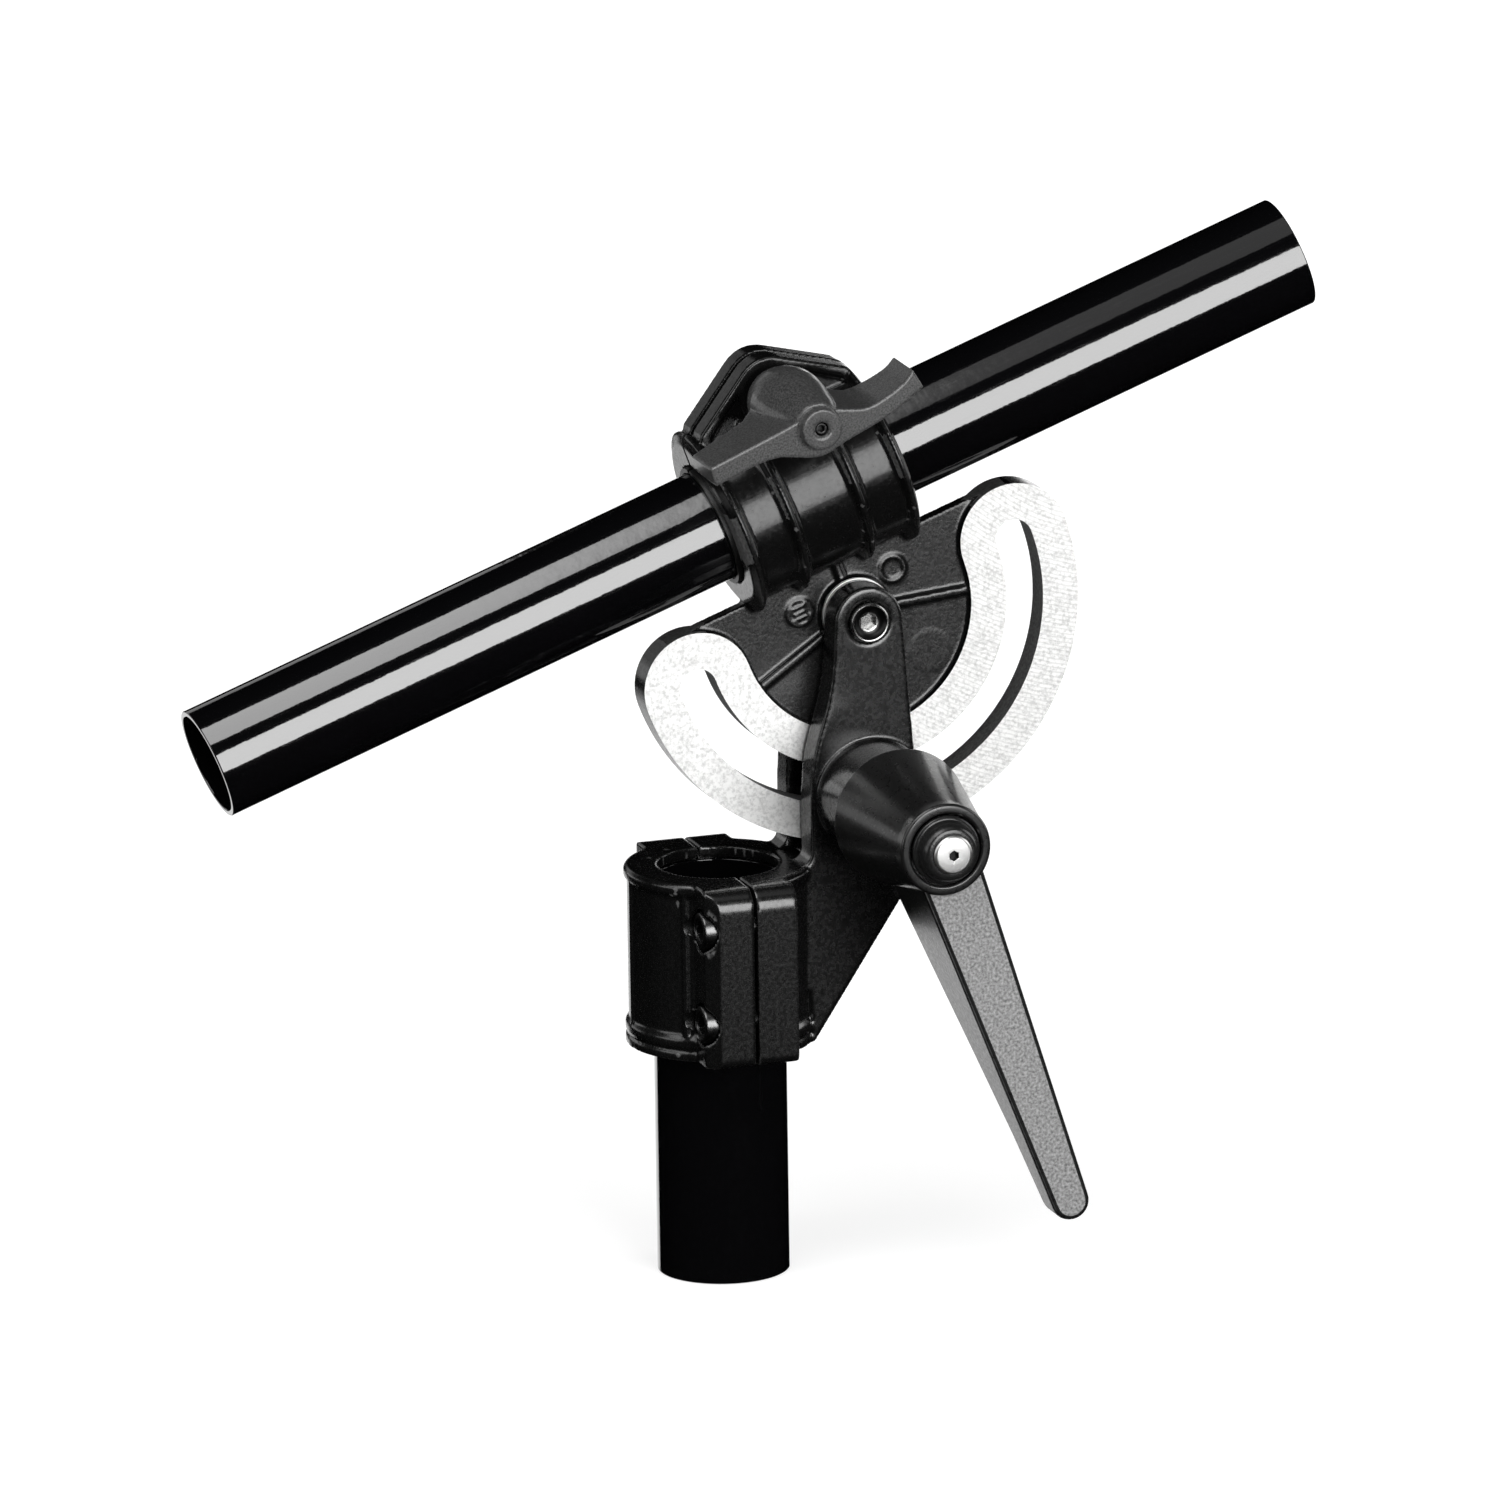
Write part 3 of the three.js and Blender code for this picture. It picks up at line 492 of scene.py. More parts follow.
# %% [markdown]
# The bracket and the cap clamp the column between them. Both are castings, and both get a
# finely turned skin where they wrap round the column. The boss for the clamp bolt gets one
# too. The column's bore and the bolt holes are cut last.

# %% Bracket
barrel_section = [(18.4, 62.5), (24.82, 62.5), (24.82, 64.6), (23.92, 65.3), (24.82, 66),
                  (24.82, 68.1), (23.92, 69.5), (23.92, 106.7), (24.82, 107.6), (24.82, 109.5),
                  (23.92, 110.4), (18.4, 110.4)]


def clamp_skin(low, high):
    """The barrel round the column, between two distances to the right of the column's axis."""
    skin = turned("skin", barrel_section, COLUMN_FOOT, UP, RIGHT, steps=192)
    side = box_tool((low - PIVOT.x, -40, -140), (high - PIVOT.x, 40, 0), place=on_bracket)
    return cut_by(skin, side, operation="INTERSECT")


def column_bore():
    """A cutter for the bore, which narrows above the column's end."""
    section = [(0, 50), (17.8, 50), (17.8, 107.2), (15.9, 107.2), (15.9, 120), (0, 120)]
    return turned("bore", section, COLUMN_FOOT, UP, RIGHT, steps=160)


boss_skin = turned("boss_skin", [(4.4, 10), (15, 10), (15, 14.4), (14.4, 36.3), (4.4, 36.3)],
                   clamp_place, steps=160)
bracket = cast("bracket", [copy_of("bracket"), clamp_skin(0.4, 40), boss_skin],
               grain=0.5, passes=6, keep=0.5)
cut_by(
    bracket,
    column_bore(),
    sleeve("drill", 0, BOLT_HOLE, -50, 50, clamp_place),
    sleeve("drill", 0, BOLT_HOLE, -50, 50, pivot_place),
    sleeve("sink", 0, 5.6, 11.4, 20, pivot_place),
    solver="MANIFOLD",
)
smooth_shaded(bracket, 40)
stands_for(bracket, "bracket", "head")

# %% [markdown]
# The cap is the clamp's outer half. Three fine ribs stand on its barrel, too thin for the
# CAD form, so they are drawn here, 50 degrees apart, and melted in with the rest. Each screw
# head sits in a pocket, which is cut like a counterbore.

# %% Cap
RIB_FOOT, RIB_HEIGHT = 69, 38
RIB_CORNERS = ((22, -0.7), (24.65, -0.7), (24.65, 0.7), (22, 0.7))
ribs = []
for degrees in (130, 180, 230):
    turn = math.radians(degrees)
    out = Vector((math.cos(turn), math.sin(turn), 0))
    wide = UP.cross(out)
    corners = [(out * reach + wide * half + UP * RIB_FOOT) * MM for reach, half in RIB_CORNERS]
    ribs.append(pulled("rib", corners, UP * RIB_HEIGHT * MM))
cap = cast("clamp_cap", [copy_of("column_clamp_cap"), clamp_skin(-40, -0.4)] + ribs,
           grain=0.42, passes=5, keep=0.6)
cut_by(cap, column_bore(), solver="MANIFOLD")
for y in (-SCREW_REACH, SCREW_REACH):
    for z in (SCREW_MIDDLE - SCREW_RISE, SCREW_MIDDLE + SCREW_RISE):
        pocket = sleeve("pocket", 0, 5.8, 7.9, 30, Vector((0, y, z)) * MM, LEFT, UP)
        cut_by(cap, pocket, solver="MANIFOLD")
smooth_shaded(cap, 40)
stands_for(cap, "column_clamp_cap", "head")

# %% [markdown]
# The T-knob is moulded in one piece round a metal insert. Moulded plastic has no straight
# edge anywhere, so it is melted from its CAD form with a fine grain. A turned skin rounds its
# barrel, where gloss would show the CAD form's flats, and a small sleeve narrows the hole in
# its face to a neat ring round the screw.

# %% T-knob
recess = sleeve("recess", 1.85, 3.1, 43.6, 48.3, ear_place)
barrel = turned("barrel", [
    (5, 9.6), (7, 9.6), (8.9, 13.6), (10, 17.4), (10.35, 20.4), (10.3, 24), (9.7, 29), (7.7, 39.7),
    (6.5, 45.2), (5, 45.2)], ear_place, steps=160)
knob = cast("t_knob", [copy_of("t_knob"), recess, barrel], grain=0.28, passes=5, keep=0.25)
smooth_shaded(knob, 60)
stands_for(knob, "t_knob", "knob")

# %% [markdown]
# The clamp lever has an arm that hangs from a hub like a bell. The arm is drawn from the
# front, pulled to its depth, bevelled round its face, and cut by its side profile, which
# tapers toward the tip.

# %% Lever arm
SWING = math.radians(19.2)
HANGING = Matrix.Rotation(-SWING, 3, "Y")
ARM_BACK, LEVER_FRONT = 30, 70


def on_lever(x, forward, z):
    return clamp_place + (HANGING @ Vector((x, 0, z)) + FRONT * forward) * MM


def arm_outline(root, tip, end, forward, steps=14):
    """Tapers from the hub to a half round tip, seen from the front."""
    points = [on_lever(-root, forward, 0), on_lever(-tip, forward, -end)]
    for step in range(1, steps):
        turn = math.pi + math.pi * step / steps
        points.append(on_lever(tip * math.cos(turn), forward, -end + tip * math.sin(turn)))
    return points + [on_lever(tip, forward, -end), on_lever(root, forward, 0)]


def on_arm_front(edge):
    ends = [arm.data.vertices[i].co for i in edge.vertices]
    return all(abs(end.y + LEVER_FRONT * MM) < MM / 100 for end in ends)


arm = pulled("arm", arm_outline(8.9, 5.1, 105.6, ARM_BACK), FRONT * (LEVER_FRONT - ARM_BACK) * MM)
pick(arm, "EDGE", on_arm_front)
bpy.ops.mesh.bevel(offset=1.3 * MM, segments=2, profile=0.6)
clear_selection()
profile = [(71, 20), (71, -120), (61.2, -120), (61.2, -109.4), (57.5, -86), (51.6, -64),
           (44.6, -40), (37, -12.4), (37, 20)]
side = pulled("profile", [on_lever(-20, forward, z) for forward, z in profile],
              HANGING @ Vector((40, 0, 0)) * MM)
cut_by(arm, side, operation="INTERSECT")
eased(arm, 0.7, angle=50)
print("arm", len(arm.data.polygons), "faces")

# %% [markdown]
# The hub is turned with its hollow skirt and the recess for the cap. Welding would leave the
# arm's root inside the hollow, so the hollow is cut once more after it.

# %% Lever hub
hub = turned("hub", [
    (7.4, 46), (8.8, 46), (15.4, 37), (17.8, 37), (18.2, 37.5), (18.1, 38.3), (12.6, 69.7),
    (12.36, 70.6), (12.36, 73.1), (12, 73.6), (11.5, 73.8), (10.2, 73.8), (9.7, 73.4), (9.7, 61.6),
    (7.4, 61.6)], clamp_place, steps=144)
eased(hub, 0.2, segments=2)
lever = welded(hub, arm)
hollow = turned("hollow", [
    (0, 30), (15.4, 30), (15.4, 37), (8.8, 46), (7.4, 46.5), (7.4, 61.6), (9.7, 61.6), (9.7, 80),
    (0, 80)], clamp_place, steps=144)
cut_by(lever, hollow)
smooth_shaded(lever)
stands_for(lever, "clamp_lever", "lever")

# %% [markdown]
# A domed cap closes the hub, and a bright screw holds it. Both are turned. The cap's crown is
# an arc, so its points are worked out, and a socket is cut in the screw.

# %% Lever cap and screw
cap_section = [(2.7, 72.7), (9.2, 72.7), (9.2, 73.7), (8.9, 74.1), (8.3, 74.3)]
for step in range(8):
    turn = math.radians(8 + 66 * step / 7)
    cap_section.append((5.9 + 2.2 * math.cos(turn), 74.6 + 4.2 * math.sin(turn)))
cap_section += [(5.7, 78.7), (2.7, 78.7)]
lever_cap = turned("lever_cap", cap_section, clamp_place)
smooth_shaded(lever_cap, 40)
stands_for(lever_cap, "lever_cap", "lever_hub")

SCREW_FACE = 79.9
lever_screw = turned("lever_screw", [
    (0, 61.7), (2.4, 61.7), (2.4, 79), (5.3, 79), (5.25, 79.25), (4.9, 79.7), (4.3, SCREW_FACE),
    (0, SCREW_FACE)], clamp_place)
cut_by(lever_screw, hex_key(clamp_place + FRONT * SCREW_FACE * MM, FRONT, 1.25, 1.8))
ease_and_hand_over(lever_screw, "lever_screw", "lever_hub", 0.1)

# %% [markdown]
# The camera stands 6 m away with a long lens, 18.6 degrees round to the left and 15 degrees
# up, and rolled a little, as the photograph was taken. A long lens from far off keeps the
# tubes' sides nearly parallel. Its length follows from how many pixels of the photograph a
# millimetre takes.

# %% Camera
DISTANCE = 6
TARGET = Vector((9.44, 0, 139.7)) * MM
ROUND = math.radians(18.58)
RAISED = math.radians(14.98)
ROLLED = math.radians(-0.86)
SENSOR, PHOTO_WIDTH, PIXELS_PER_MM = 36, 1500, 3.817
toward_camera = Vector((-math.sin(ROUND) * math.cos(RAISED), -math.cos(ROUND) * math.cos(RAISED),
                        math.sin(RAISED)))
clear_selection()
bpy.ops.object.camera_add(location=TARGET + toward_camera * DISTANCE)
camera = bpy.context.object
level_view = toward_camera.to_track_quat("Z", "Y")
roll = Matrix.Rotation(ROLLED, 3, "Z").to_quaternion()
camera.rotation_euler = (level_view @ roll).to_euler()
camera.data.sensor_width = SENSOR
camera.data.lens = SENSOR * DISTANCE / (PHOTO_WIDTH / PIXELS_PER_MM * MM)
camera.data.clip_end = 100
bpy.context.scene.camera = camera
print("lens", round(camera.data.lens, 1), "mm")

# %% [markdown]
# A finish starts from what the real one is. Colours are written as they look on a screen, and
# one function turns them to the linear values that the shader wants. Another adds a node with
# its settings and links. All patterns use Object coordinates, which are metres here, so a
# scale of 1000 divided by a size in millimetres gives a pattern of that size. What is the same
# all over a surface is set on the shader itself. A Mix node's sockets go by number: 0 is the
# factor, then come its two numbers and, further on, its two colours.


# %% Colours and nodes
NUMBER_A, NUMBER_B, COLOUR_A, COLOUR_B, MIXED_COLOUR = 2, 3, 6, 7, 2


def linear(code):
    channels = [int(code[i:i + 2], 16) / 255 for i in (1, 3, 5)]
    return [c / 12.92 if c <= 0.04045 else ((c + 0.055) / 1.055) ** 2.4 for c in channels] + [1]


def node(owner, kind, settings=None, inputs=None):
    """Adds a node to a material, a world or a lamp. An input is a value or another's output."""
    made = owner.node_tree.nodes.new("ShaderNode" + kind)
    for setting, value in (settings or {}).items():
        setattr(made, setting, value)
    for name, value in (inputs or {}).items():
        if isinstance(value, bpy.types.NodeSocket):
            owner.node_tree.links.new(value, made.inputs[name])
        else:
            made.inputs[name].default_value = value
    return made


def new_finish(name, plain):
    """A material with its plain values, its shader, and the place on the piece."""
    finish = bpy.data.materials.new(name)
    finish.use_nodes = True
    shader = finish.node_tree.nodes["Principled BSDF"]
    for socket, value in plain.items():
        shader.inputs[socket].default_value = value
    return finish, shader, node(finish, "TexCoord").outputs["Object"]


def wire(owner, source, *targets):
    for target in targets:
        owner.node_tree.links.new(source, target)


# %% [markdown]
# Black stove enamel on the tubes: a deep black, thick and glossy lacquer over steel. The eye
# reads it from its reflections alone, so the colour is almost nothing, a clear coat doubles
# the gloss, and a very low bump of some 3 mm makes the highlights' edges waver as a sprayed
# coat does. Rubbing leaves hair scratches 0.4 mm wide, which are noise drawn out along the
# tube. For that the pattern is turned, so that its X runs along the boom or up the column.

# %% Tube enamel
def tube_enamel(name, turn):
    finish, shader, place = new_finish(name, {
        "Base Color": linear("#060607"), "IOR": 1.5, "Coat Weight": 1.0, "Coat Roughness": 0.03,
        "Coat IOR": 1.5})
    turned_to = node(finish, "Mapping", inputs={"Vector": place, "Rotation": (0, turn, 0)})
    along = turned_to.outputs["Vector"]
    peel = node(finish, "TexNoise", inputs={"Vector": along, "Scale": 330, "Detail": 2})
    drawn_out = node(finish, "Mapping", inputs={"Vector": along, "Scale": (0.04, 1, 1)})
    hairs = node(finish, "TexNoise", inputs={
        "Vector": drawn_out.outputs["Vector"], "Scale": 2600, "Detail": 3})
    worn = node(finish, "MapRange", inputs={
        "Value": hairs.outputs["Fac"], "From Min": 0.55, "From Max": 0.8, "To Min": 0.09,
        "To Max": 0.2})
    wire(finish, worn.outputs["Result"], shader.inputs["Roughness"])
    bump = node(finish, "Bump", inputs={
        "Height": peel.outputs["Fac"], "Strength": 0.08, "Distance": 0.0003})
    wire(finish, bump.outputs["Normal"], shader.inputs["Normal"], shader.inputs["Coat Normal"])
    return finish


boom_enamel = tube_enamel("black_enamel_boom", SLOPE)
column_enamel = tube_enamel("black_enamel_column", math.radians(90))
print("tube enamel ready")

# %% [markdown]
# Black powder coat on the castings: a polyester powder baked over cast metal. It is satin, with a
# peel of about a millimetre that breaks the highlights up, and its black drifts a little over patches
# of 11 mm. Edges that hands and bolts rub turn grey. Pointiness, which is high where a surface is
# sharp, finds them, and the peel makes the wear patchy. The flat plate of the quadrant gets a rougher
# coat in a paler grey than the collar's, and that paler grey is painted light for the light its flat
# front face takes. The collar's paint mirrors least.

# %% Powder coat
def powder_coat(name, colour, roughness, peel, depth, clear_coat, mirror=0.5):
    finish, shader, place = new_finish(name, {
        "Coat Weight": clear_coat, "Coat Roughness": 0.16, "Specular IOR Level": mirror})
    skin = node(finish, "TexNoise", inputs={"Vector": place, "Scale": 1000 / peel, "Detail": 2})
    patches = node(finish, "TexNoise", inputs={"Vector": place, "Scale": 90, "Detail": 2})
    tint = node(finish, "Mix", {"data_type": "RGBA"}, {0: patches.outputs["Fac"]})
    for socket, strength in ((COLOUR_A, 0.7), (COLOUR_B, 1.3)):
        tint.inputs[socket].default_value = [c * strength for c in linear(colour)[:3]] + [1]
    edges = node(finish, "MapRange", inputs={
        "Value": node(finish, "NewGeometry").outputs["Pointiness"], "From Min": 0.53,
        "From Max": 0.62, "To Max": 0.8})
    rubbed = node(finish, "Math", {"operation": "MULTIPLY"}, {
        0: edges.outputs["Result"], 1: skin.outputs["Fac"]})
    worn = node(finish, "Mix", {"data_type": "RGBA"}, {
        0: rubbed.outputs["Value"], COLOUR_A: tint.outputs[MIXED_COLOUR],
        COLOUR_B: linear("#747474")})
    wire(finish, worn.outputs[MIXED_COLOUR], shader.inputs["Base Color"])
    sheen = node(finish, "MapRange", inputs={
        "Value": skin.outputs["Fac"], "From Min": 0.3, "From Max": 0.7,
        "To Min": roughness - 0.06, "To Max": roughness + 0.06})
    wire(finish, sheen.outputs["Result"], shader.inputs["Roughness"])
    bump = node(finish, "Bump", inputs={
        "Height": skin.outputs["Fac"], "Strength": depth, "Distance": 0.0003})
    wire(finish, bump.outputs["Normal"], shader.inputs["Normal"], shader.inputs["Coat Normal"])
    return finish


cast_paint = powder_coat("black_powder_coat_cradle", "#0c0c0c", roughness=0.22, peel=1.2,
                         depth=0.03, clear_coat=0.08, mirror=0.36)
# The plate's paler grey is painted light, for the light on its flat front face.
plate_paint_painted_paler = powder_coat("black_powder_coat_plate_painted_paler", "#1a1a1a", roughness=0.26, peel=0.8,
                          depth=0.12, clear_coat=0.2)
bracket_paint = powder_coat("black_powder_coat_bracket", "#0a0a0a", roughness=0.26, peel=1.0,
                            depth=0.04, clear_coat=0.5)
print("powder coats ready")

# %% [markdown]
# Milled aluminium: the band's faces were fly cut after painting. Bare aluminium is a metal, so
# its colour is in the reflection. The cutter leaves arcs, drawn 1.2 mm apart so that they
# show, about a centre to the upper right, and they fade toward the left as they do on the real
# band. The casting's pores show as small dull specks of about a millimetre.

# %% Milled aluminium
CUTTER_CENTRE = Vector((0.12, 0, 0.262))


def milled_aluminium():
    finish, shader, place = new_finish("milled_aluminium", {"Metallic": 1})
    centred = node(finish, "Mapping", inputs={"Vector": place, "Location": -CUTTER_CENTRE})
    arcs = node(finish, "TexWave", {"wave_type": "RINGS", "rings_direction": "Y"}, {
        "Vector": centred.outputs["Vector"], "Scale": 270, "Distortion": 2, "Detail": 3,
        "Detail Scale": 1.5})
    lines = node(finish, "MapRange", inputs={
        "Value": arcs.outputs["Fac"], "From Max": 0.5, "To Min": 0.68, "To Max": 1})
    right = node(finish, "SeparateXYZ", inputs={"Vector": place}).outputs["X"]
    shown = node(finish, "MapRange", inputs={
        "Value": right, "From Min": 0.03, "From Max": 0.07, "To Min": 0.1, "To Max": 1})
    cut = node(finish, "Mix", {"data_type": "FLOAT"}, {
        0: shown.outputs["Result"], NUMBER_A: 1.0, NUMBER_B: lines.outputs["Result"]})
    pores = node(finish, "TexNoise", inputs={
        "Vector": place, "Scale": 1100, "Detail": 4, "Roughness": 0.6})
    specks = node(finish, "MapRange", inputs={
        "Value": pores.outputs["Fac"], "From Min": 0.34, "From Max": 0.56, "To Min": 0.45,
        "To Max": 1})
    relief = node(finish, "Math", {"operation": "MULTIPLY"}, {
        0: cut.outputs[0], 1: specks.outputs["Result"]})
    tint = node(finish, "Mix", {"data_type": "RGBA"}, {
        0: relief.outputs["Value"], COLOUR_A: linear("#b2b2b1"), COLOUR_B: linear("#f0f0ef")})
    wire(finish, tint.outputs[MIXED_COLOUR], shader.inputs["Base Color"])
    dull = node(finish, "MapRange", inputs={
        "Value": relief.outputs["Value"], "To Min": 0.62, "To Max": 0.5})
    wire(finish, dull.outputs["Result"], shader.inputs["Roughness"])
    bump = node(finish, "Bump", inputs={
        "Height": relief.outputs["Value"], "Strength": 0.12, "Distance": 0.0001})
    wire(finish, bump.outputs["Normal"], shader.inputs["Normal"])
    return finish


milled = milled_aluminium()
print(milled.name, "ready")

# %% [markdown]
# Steel comes in four finishes here. The washers on the two bolts through the arms, the bush
# and the lever's screw are bright zinc, the pivot bolt is nickel plated, the column clamp's
# screws are black zinc, and the rest is black oxide. Plating isn't quite even, so each has a
# fine grain in its gloss, drawn as coarse as 0.7 mm so that it shows.

# %% Steels
def plated_steel(name, colour, roughness):
    finish, shader, place = new_finish(name, {"Metallic": 1, "Base Color": linear(colour)})
    grain = node(finish, "TexNoise", inputs={"Vector": place, "Scale": 1500, "Detail": 3})
    dull = node(finish, "MapRange", inputs={
        "Value": grain.outputs["Fac"], "To Min": roughness - 0.08, "To Max": roughness + 0.08})
    wire(finish, dull.outputs["Result"], shader.inputs["Roughness"])
    bump = node(finish, "Bump", inputs={
        "Height": grain.outputs["Fac"], "Strength": 0.08, "Distance": 0.0001})
    wire(finish, bump.outputs["Normal"], shader.inputs["Normal"])
    return finish


bright_steel = plated_steel("zinc_plated_steel", "#e2e2e1", 0.36)
dark_steel = plated_steel("black_oxide_steel", "#333333", 0.34)
screw_steel = plated_steel("black_zinc_steel", "#5c5c5c", 0.28)
nickel_steel = plated_steel("nickel_plated_steel", "#a0a09f", 0.26)
print("four steels ready")

# %% [markdown]
# The knob is glass-filled nylon, and the lever's cap and the liner are plain black nylon.
# Glass fibre near the surface gives moulded nylon a dull grey skin with a speckle of about half a
# millimetre, and handling lays a thin gloss over the knob's. The slot's walls get the same dull
# speckled recipe, a little coarser, in a pale grey that is painted light: their paint is black, and
# the grey stands for the soft light that falls on it.

# %% Plastics
def moulded_nylon(name, pale, dark, roughness, grain=0.5, **gloss):
    """Further values for the shader are given by name, with _ for each space."""
    plain = {"Roughness": roughness, "IOR": 1.53}
    plain.update((socket.replace("_", " "), value) for socket, value in gloss.items())
    finish, shader, place = new_finish(name, plain)
    speckle = node(finish, "TexNoise", inputs={"Vector": place, "Scale": 1000 / grain, "Detail": 3})
    spread = node(finish, "MapRange", inputs={
        "Value": speckle.outputs["Fac"], "From Min": 0.35, "From Max": 0.65})
    tint = node(finish, "Mix", {"data_type": "RGBA"}, {
        0: spread.outputs["Result"], COLOUR_A: linear(dark), COLOUR_B: linear(pale)})
    wire(finish, tint.outputs[MIXED_COLOUR], shader.inputs["Base Color"])
    bump = node(finish, "Bump", inputs={
        "Height": speckle.outputs["Fac"], "Strength": 0.2, "Distance": 0.0002})
    wire(finish, bump.outputs["Normal"], shader.inputs["Normal"])
    return finish


# The slot walls' grey is painted light on black paint.
slot_wall_painted_grey = moulded_nylon("slot_wall_grey_painted_light", "#545454", "#303030", 0.6, grain=0.8)
knob_nylon = moulded_nylon("glass_filled_nylon_knob", "#4c4c4c", "#2a2a2a", 0.5,
                           Specular_IOR_Level=0.1, Coat_Weight=0.7, Coat_Roughness=0.18)
cap_nylon = moulded_nylon("nylon_cap", "#1c1c1c", "#111111", 0.25)
liner_nylon = moulded_nylon("nylon_liner", "#121212", "#0b0b0b", 0.4)
print("nylons and slot paint ready")

# %% [markdown]
# The lever is black like the bracket, but its face is bare: die-cast zinc, tumbled until it
# has an even grey grain, here of 0.8 mm. It is rough enough to look more like stone than like
# metal, so it is only partly metallic.

# %% Tumbled zinc
def tumbled_zinc():
    finish, shader, place = new_finish("tumbled_zinc", {"Metallic": 0.3, "Roughness": 0.6})
    grain = node(finish, "TexNoise", inputs={"Vector": place, "Scale": 1300, "Detail": 3})
    spread = node(finish, "MapRange", inputs={
        "Value": grain.outputs["Fac"], "From Min": 0.3, "From Max": 0.7})
    tint = node(finish, "Mix", {"data_type": "RGBA"}, {
        0: spread.outputs["Result"], COLOUR_A: linear("#5c5c5c"), COLOUR_B: linear("#a6a6a6")})
    wire(finish, tint.outputs[MIXED_COLOUR], shader.inputs["Base Color"])
    bump = node(finish, "Bump", inputs={
        "Height": grain.outputs["Fac"], "Strength": 0.4, "Distance": 0.0002})
    wire(finish, bump.outputs["Normal"], shader.inputs["Normal"])
    return finish


lever_face = tumbled_zinc()
lever_paint = powder_coat("black_powder_coat_lever", "#0f0f0f", roughness=0.32, peel=1.0,
                          depth=0.05, clear_coat=0.4)
print(lever_face.name, "and", lever_paint.name, "ready")

# %% [markdown]
# Some pieces have a second finish: a face that was machined or left bare, a paler plate and grey slot
# walls that are painted light, or a hollow given dark steel as painted shade, in the lever screw's
# socket and the pivot bolt's dish. Its faces are picked by their place and the way they face.


# %% Pick faces
FLAT = 0.999
NEAR = 0.02 * MM


def off_axis(face, place):
    """How far the middle of a face lies from a bolt's axis."""
    return (face.center - place).cross(FRONT).length


def on_plate(face):
    height = (face.center - pivot_place).dot(ABOVE)
    return abs(face.normal.y) > 0.97 and height < 14 * MM


def on_milled_face(face):
    return abs(face.normal.y) > FLAT and abs(abs(face.center.y) - MILLED * MM) < NEAR


def in_slot(face):
    out = face.center - pivot_place
    reach = math.hypot(out.x, out.z)
    return abs(face.normal.y) < 0.5 and abs(reach - SLOT_RADIUS * MM) < (SLOT_HALF + 0.4) * MM


def on_lever_face(face):
    return face.normal.y < -FLAT and abs(face.center.y + LEVER_FRONT * MM) < NEAR


# The lever screw's socket gets dark steel as painted shade.
def lever_socket_painted_shade(face):
    return face.center.y > -79.85 * MM and off_axis(face, clamp_place) < 1.6 * MM


# The pivot bolt's dish gets dark steel as painted shade.
def bolt_dish_painted_shade(face):
    return 2.6 * MM < off_axis(face, pivot_place) < 4.4 * MM


# %% [markdown]
# Each piece then gets its finish. Black oxide is the usual one for hardware, so only the
# others are listed. The quadrant's plate is painted first, its milled faces come next and the
# slot's walls last, since a later finish takes a face from an earlier one.


# %% Put the finishes on
def coat(piece, finish):
    piece.data.materials.clear()
    piece.data.materials.append(finish)


def second_finish(piece, finish, chosen):
    piece.data.materials.append(finish)
    count = 0
    for face in piece.data.polygons:
        if chosen(face):
            face.material_index = len(piece.data.materials) - 1
            count += 1
    print(piece.name, count, "faces in", finish.name)


FINISHES = {
    "boom_tube": boom_enamel, "column_tube": column_enamel, "boom_cradle": cast_paint,
    "bracket": bracket_paint, "column_clamp_cap": bracket_paint, "t_knob": knob_nylon,
    "lever_cap": cap_nylon, "boom_liner": liner_nylon, "clamp_lever": lever_paint,
    "lever_screw": bright_steel, "pivot_washer_front": bright_steel,
    "pivot_washer_rear": bright_steel, "clamp_washer_front": bright_steel,
    "clamp_washer_rear": bright_steel, "slot_bush": bright_steel, "pivot_bolt": nickel_steel,
}
# The plate's paler coat and the slot walls' grey are painted light, and the dark socket and dish are
# painted shade.
SECOND_FINISHES = (
    ("boom_cradle", plate_paint_painted_paler, on_plate), ("boom_cradle", milled, on_milled_face),
    ("boom_cradle", slot_wall_painted_grey, in_slot), ("clamp_lever", lever_face, on_lever_face),
    ("lever_screw", dark_steel, lever_socket_painted_shade), ("pivot_bolt", dark_steel, bolt_dish_painted_shade),
)
for name, piece in dressed.items():
    usual = screw_steel if name.startswith("clamp_screw") else dark_steel
    coat(piece, FINISHES.get(name, usual))
for name, finish, chosen in SECOND_FINISHES:
    second_finish(dressed[name], finish, chosen)
coat(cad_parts["lever_core"], dark_steel)

# %% [markdown]
# The studio has a pale floor. The real head stands far above any floor, so this one takes the
# shadow but isn't mirrored in the gloss. It glows for the camera alone, a little near the
# object, where the shadow has to show, and up to white further out.

# %% Floor
clear_selection()
bpy.ops.mesh.primitive_plane_add(size=6, location=(0, 0, -0.0002))
floor = bpy.context.object
floor.name = "floor"
floor.visible_glossy = False

pale, floor_shader, floor_place = new_finish("pale_floor", {
    "Base Color": linear("#b8b8b8"), "Roughness": 0.9, "Specular IOR Level": 0,
    "Emission Color": (1, 1, 1, 1)})
rays = node(pale, "LightPath")
seen = node(pale, "Math", {"operation": "MAXIMUM"}, {
    0: rays.outputs["Is Camera Ray"], 1: rays.outputs["Is Transmission Ray"]})
far = node(pale, "VectorMath", {"operation": "LENGTH"}, {0: floor_place})
lift = node(pale, "MapRange", inputs={
    "Value": far.outputs["Value"], "From Min": 0.15, "From Max": 1.2, "To Min": 0.66, "To Max": 1})
glow = node(pale, "Math", {"operation": "MULTIPLY"}, {
    0: seen.outputs["Value"], 1: lift.outputs["Result"]})
wire(pale, glow.outputs["Value"], floor_shader.inputs["Emission Strength"])
coat(floor, pale)
print("floor", tuple(floor.dimensions))

# %% [markdown]
# The background is white. The world is that for rays that the camera sees and for those that
# bounce off gloss, and for soft light it is a weak fill, so that white doesn't flood the
# object. It is one plain colour, so it needs no sampling of its own.

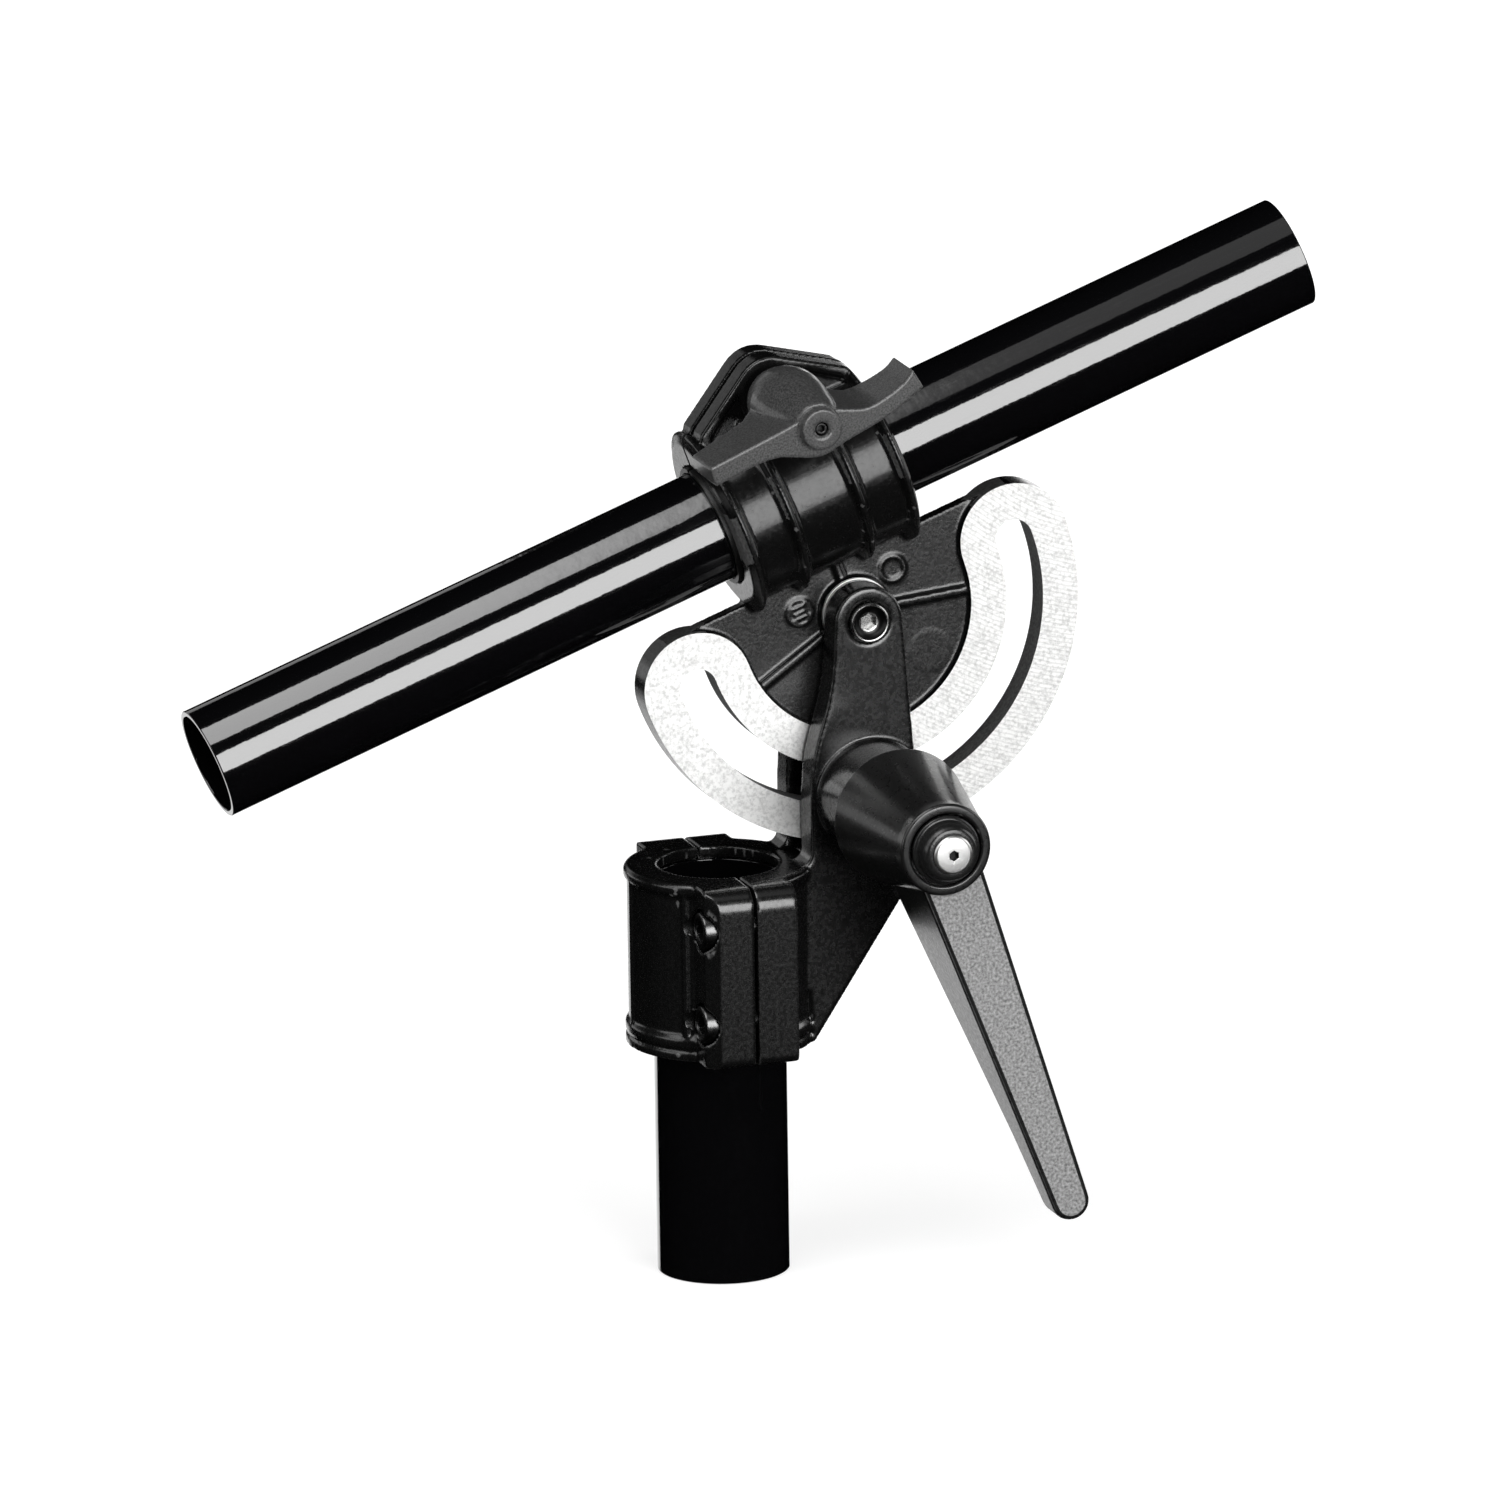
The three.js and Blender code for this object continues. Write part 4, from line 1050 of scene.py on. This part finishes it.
# %% Background
world = bpy.data.worlds.new("studio")
bpy.context.scene.world = world
world.use_nodes = True
world.cycles.sampling_method = "NONE"
rays = node(world, "LightPath")
seen = node(world, "Math", {"operation": "MAXIMUM"}, {
    0: rays.outputs["Is Camera Ray"], 1: rays.outputs["Is Glossy Ray"]})
white = node(world, "Math", {"operation": "MAXIMUM"}, {
    0: seen.outputs["Value"], 1: rays.outputs["Is Transmission Ray"]})
strength = node(world, "MapRange", inputs={
    "Value": white.outputs["Value"], "To Min": 0.22, "To Max": 1})
sky = world.node_tree.nodes["Background"]
sky.inputs["Color"].default_value = (1, 1, 1, 1)
wire(world, strength.outputs["Result"], sky.inputs["Strength"])
print("background", world.name)

# %% [markdown]
# Gloss black looks black only where it mirrors something dark. Photographers put black cards
# round such a thing, and here one black shell does that. It has two openings, each a
# direction and a half angle in degrees. The first is behind the head as the camera sees it,
# so white creeps in only at the very edge of a tube. The second is low at the back, where
# faces that look down to the left mirror it, such as the lever's left side, so they turn grey.
# Only gloss sees the shell.

# %% Black cards
SHELL_REACH = 3.0
OPENINGS = [(-toward_camera, 12), (Vector((-0.08, 0.916, -0.394)), 8.5)]


def in_opening(vertex):
    away = (vertex.co - pivot_place).normalized()
    return any(away.angle(way) < math.radians(half) for way, half in OPENINGS)


clear_selection()
bpy.ops.mesh.primitive_uv_sphere_add(segments=64, ring_count=48, radius=SHELL_REACH,
                                     location=pivot_place)
shell = bpy.context.object
shell.name = "black_cards"
bpy.ops.object.transform_apply(location=True)
pick(shell, "VERT", in_opening)
bpy.ops.mesh.delete(type="VERT")
clear_selection()
for ray in ("camera", "diffuse", "transmission", "volume_scatter", "shadow"):
    setattr(shell, "visible_" + ray, False)
velvet = new_finish("black_velvet", {"Base Color": linear("#050505"), "Specular IOR Level": 0})[0]
coat(shell, velvet)
print("black cards", len(shell.data.polygons), "faces")

# %% [markdown]
# Eight soft boxes stand round the head, inside the shell. The front one is as long as the
# boom, and its mirror image is the bright band on the boom's side. The one overhead gives the
# duller band on top, which is strong on the left and dies away to the right, as the light
# there does. The others are weaker. They put a soft grey on the faces that look left or
# right, and give the back something to mirror. Each is a lamp with its direction from the
# pivot, its width and height in metres, its strength, and its roll from the boom's slope.


# %% Lights
BOX_DISTANCE = 1.5
SOFT_BOXES = (
    ("front_box", (0.148, -0.972, 0.181), 0.95, 0.92, 7.7, 27),
    ("rim_box", (-0.25, 0.93, 0.26), 0.9, 0.4, 0.45, 0),
    ("left_box", (-0.75, -0.25, 0.61), 0.9, 0.9, 2, 0),
    ("right_box", (0.95, -0.1, 0.3), 1.0, 1.0, 2.4, 0),
    ("low_right_box", (0.62, 0.78, 0), 0.9, 0.32, 1.2, -25),
    ("low_left_box", (-0.6, 0.8, 0), 0.9, 0.32, 0.9, -25),
    ("far_left_box", (-0.97, -0.12, 0.14), 0.5, 0.8, 1.7, 0),
    ("top_box", (-0.128, -0.319, 0.939), 1.5, 1.05, 4.4, 0),
)


def soft_box(name, direction, width, height, radiance, rolled):
    clear_selection()
    aim = Vector(direction).normalized()
    side = (ALONG - aim * ALONG.dot(aim)).normalized()
    side.rotate(Matrix.Rotation(math.radians(-rolled), 3, aim))
    bpy.ops.object.light_add(type="AREA", location=pivot_place + aim * BOX_DISTANCE)
    lamp = bpy.context.object
    lamp.name = name
    lamp.data.shape = "RECTANGLE"
    lamp.data.size, lamp.data.size_y = width, height
    lamp.data.energy = radiance * math.pi * width * height
    lamp.rotation_euler = Matrix((side, aim.cross(side), aim)).transposed().to_euler()
    lamp.visible_camera = False
    print(name, round(lamp.data.energy, 1), "W")
    return lamp.data


boxes = {row[0]: soft_box(*row) for row in SOFT_BOXES}
overhead = boxes["top_box"]
overhead.use_nodes = True
on_lamp = node(overhead, "NewGeometry").outputs["Parametric"]
across = node(overhead, "SeparateXYZ", inputs={"Vector": on_lamp}).outputs["X"]
fade = node(overhead, "MapRange", {"interpolation_type": "SMOOTHSTEP"}, {
    "Value": across, "From Min": 0.42, "From Max": 0.55, "To Min": 1, "To Max": 0.1})
wire(overhead, fade.outputs["Result"], overhead.node_tree.nodes["Emission"].inputs["Strength"])

# %% [markdown]
# The Standard view shows each colour as it was written.

# %% Finish
bpy.context.scene.view_settings.view_transform = "Standard"
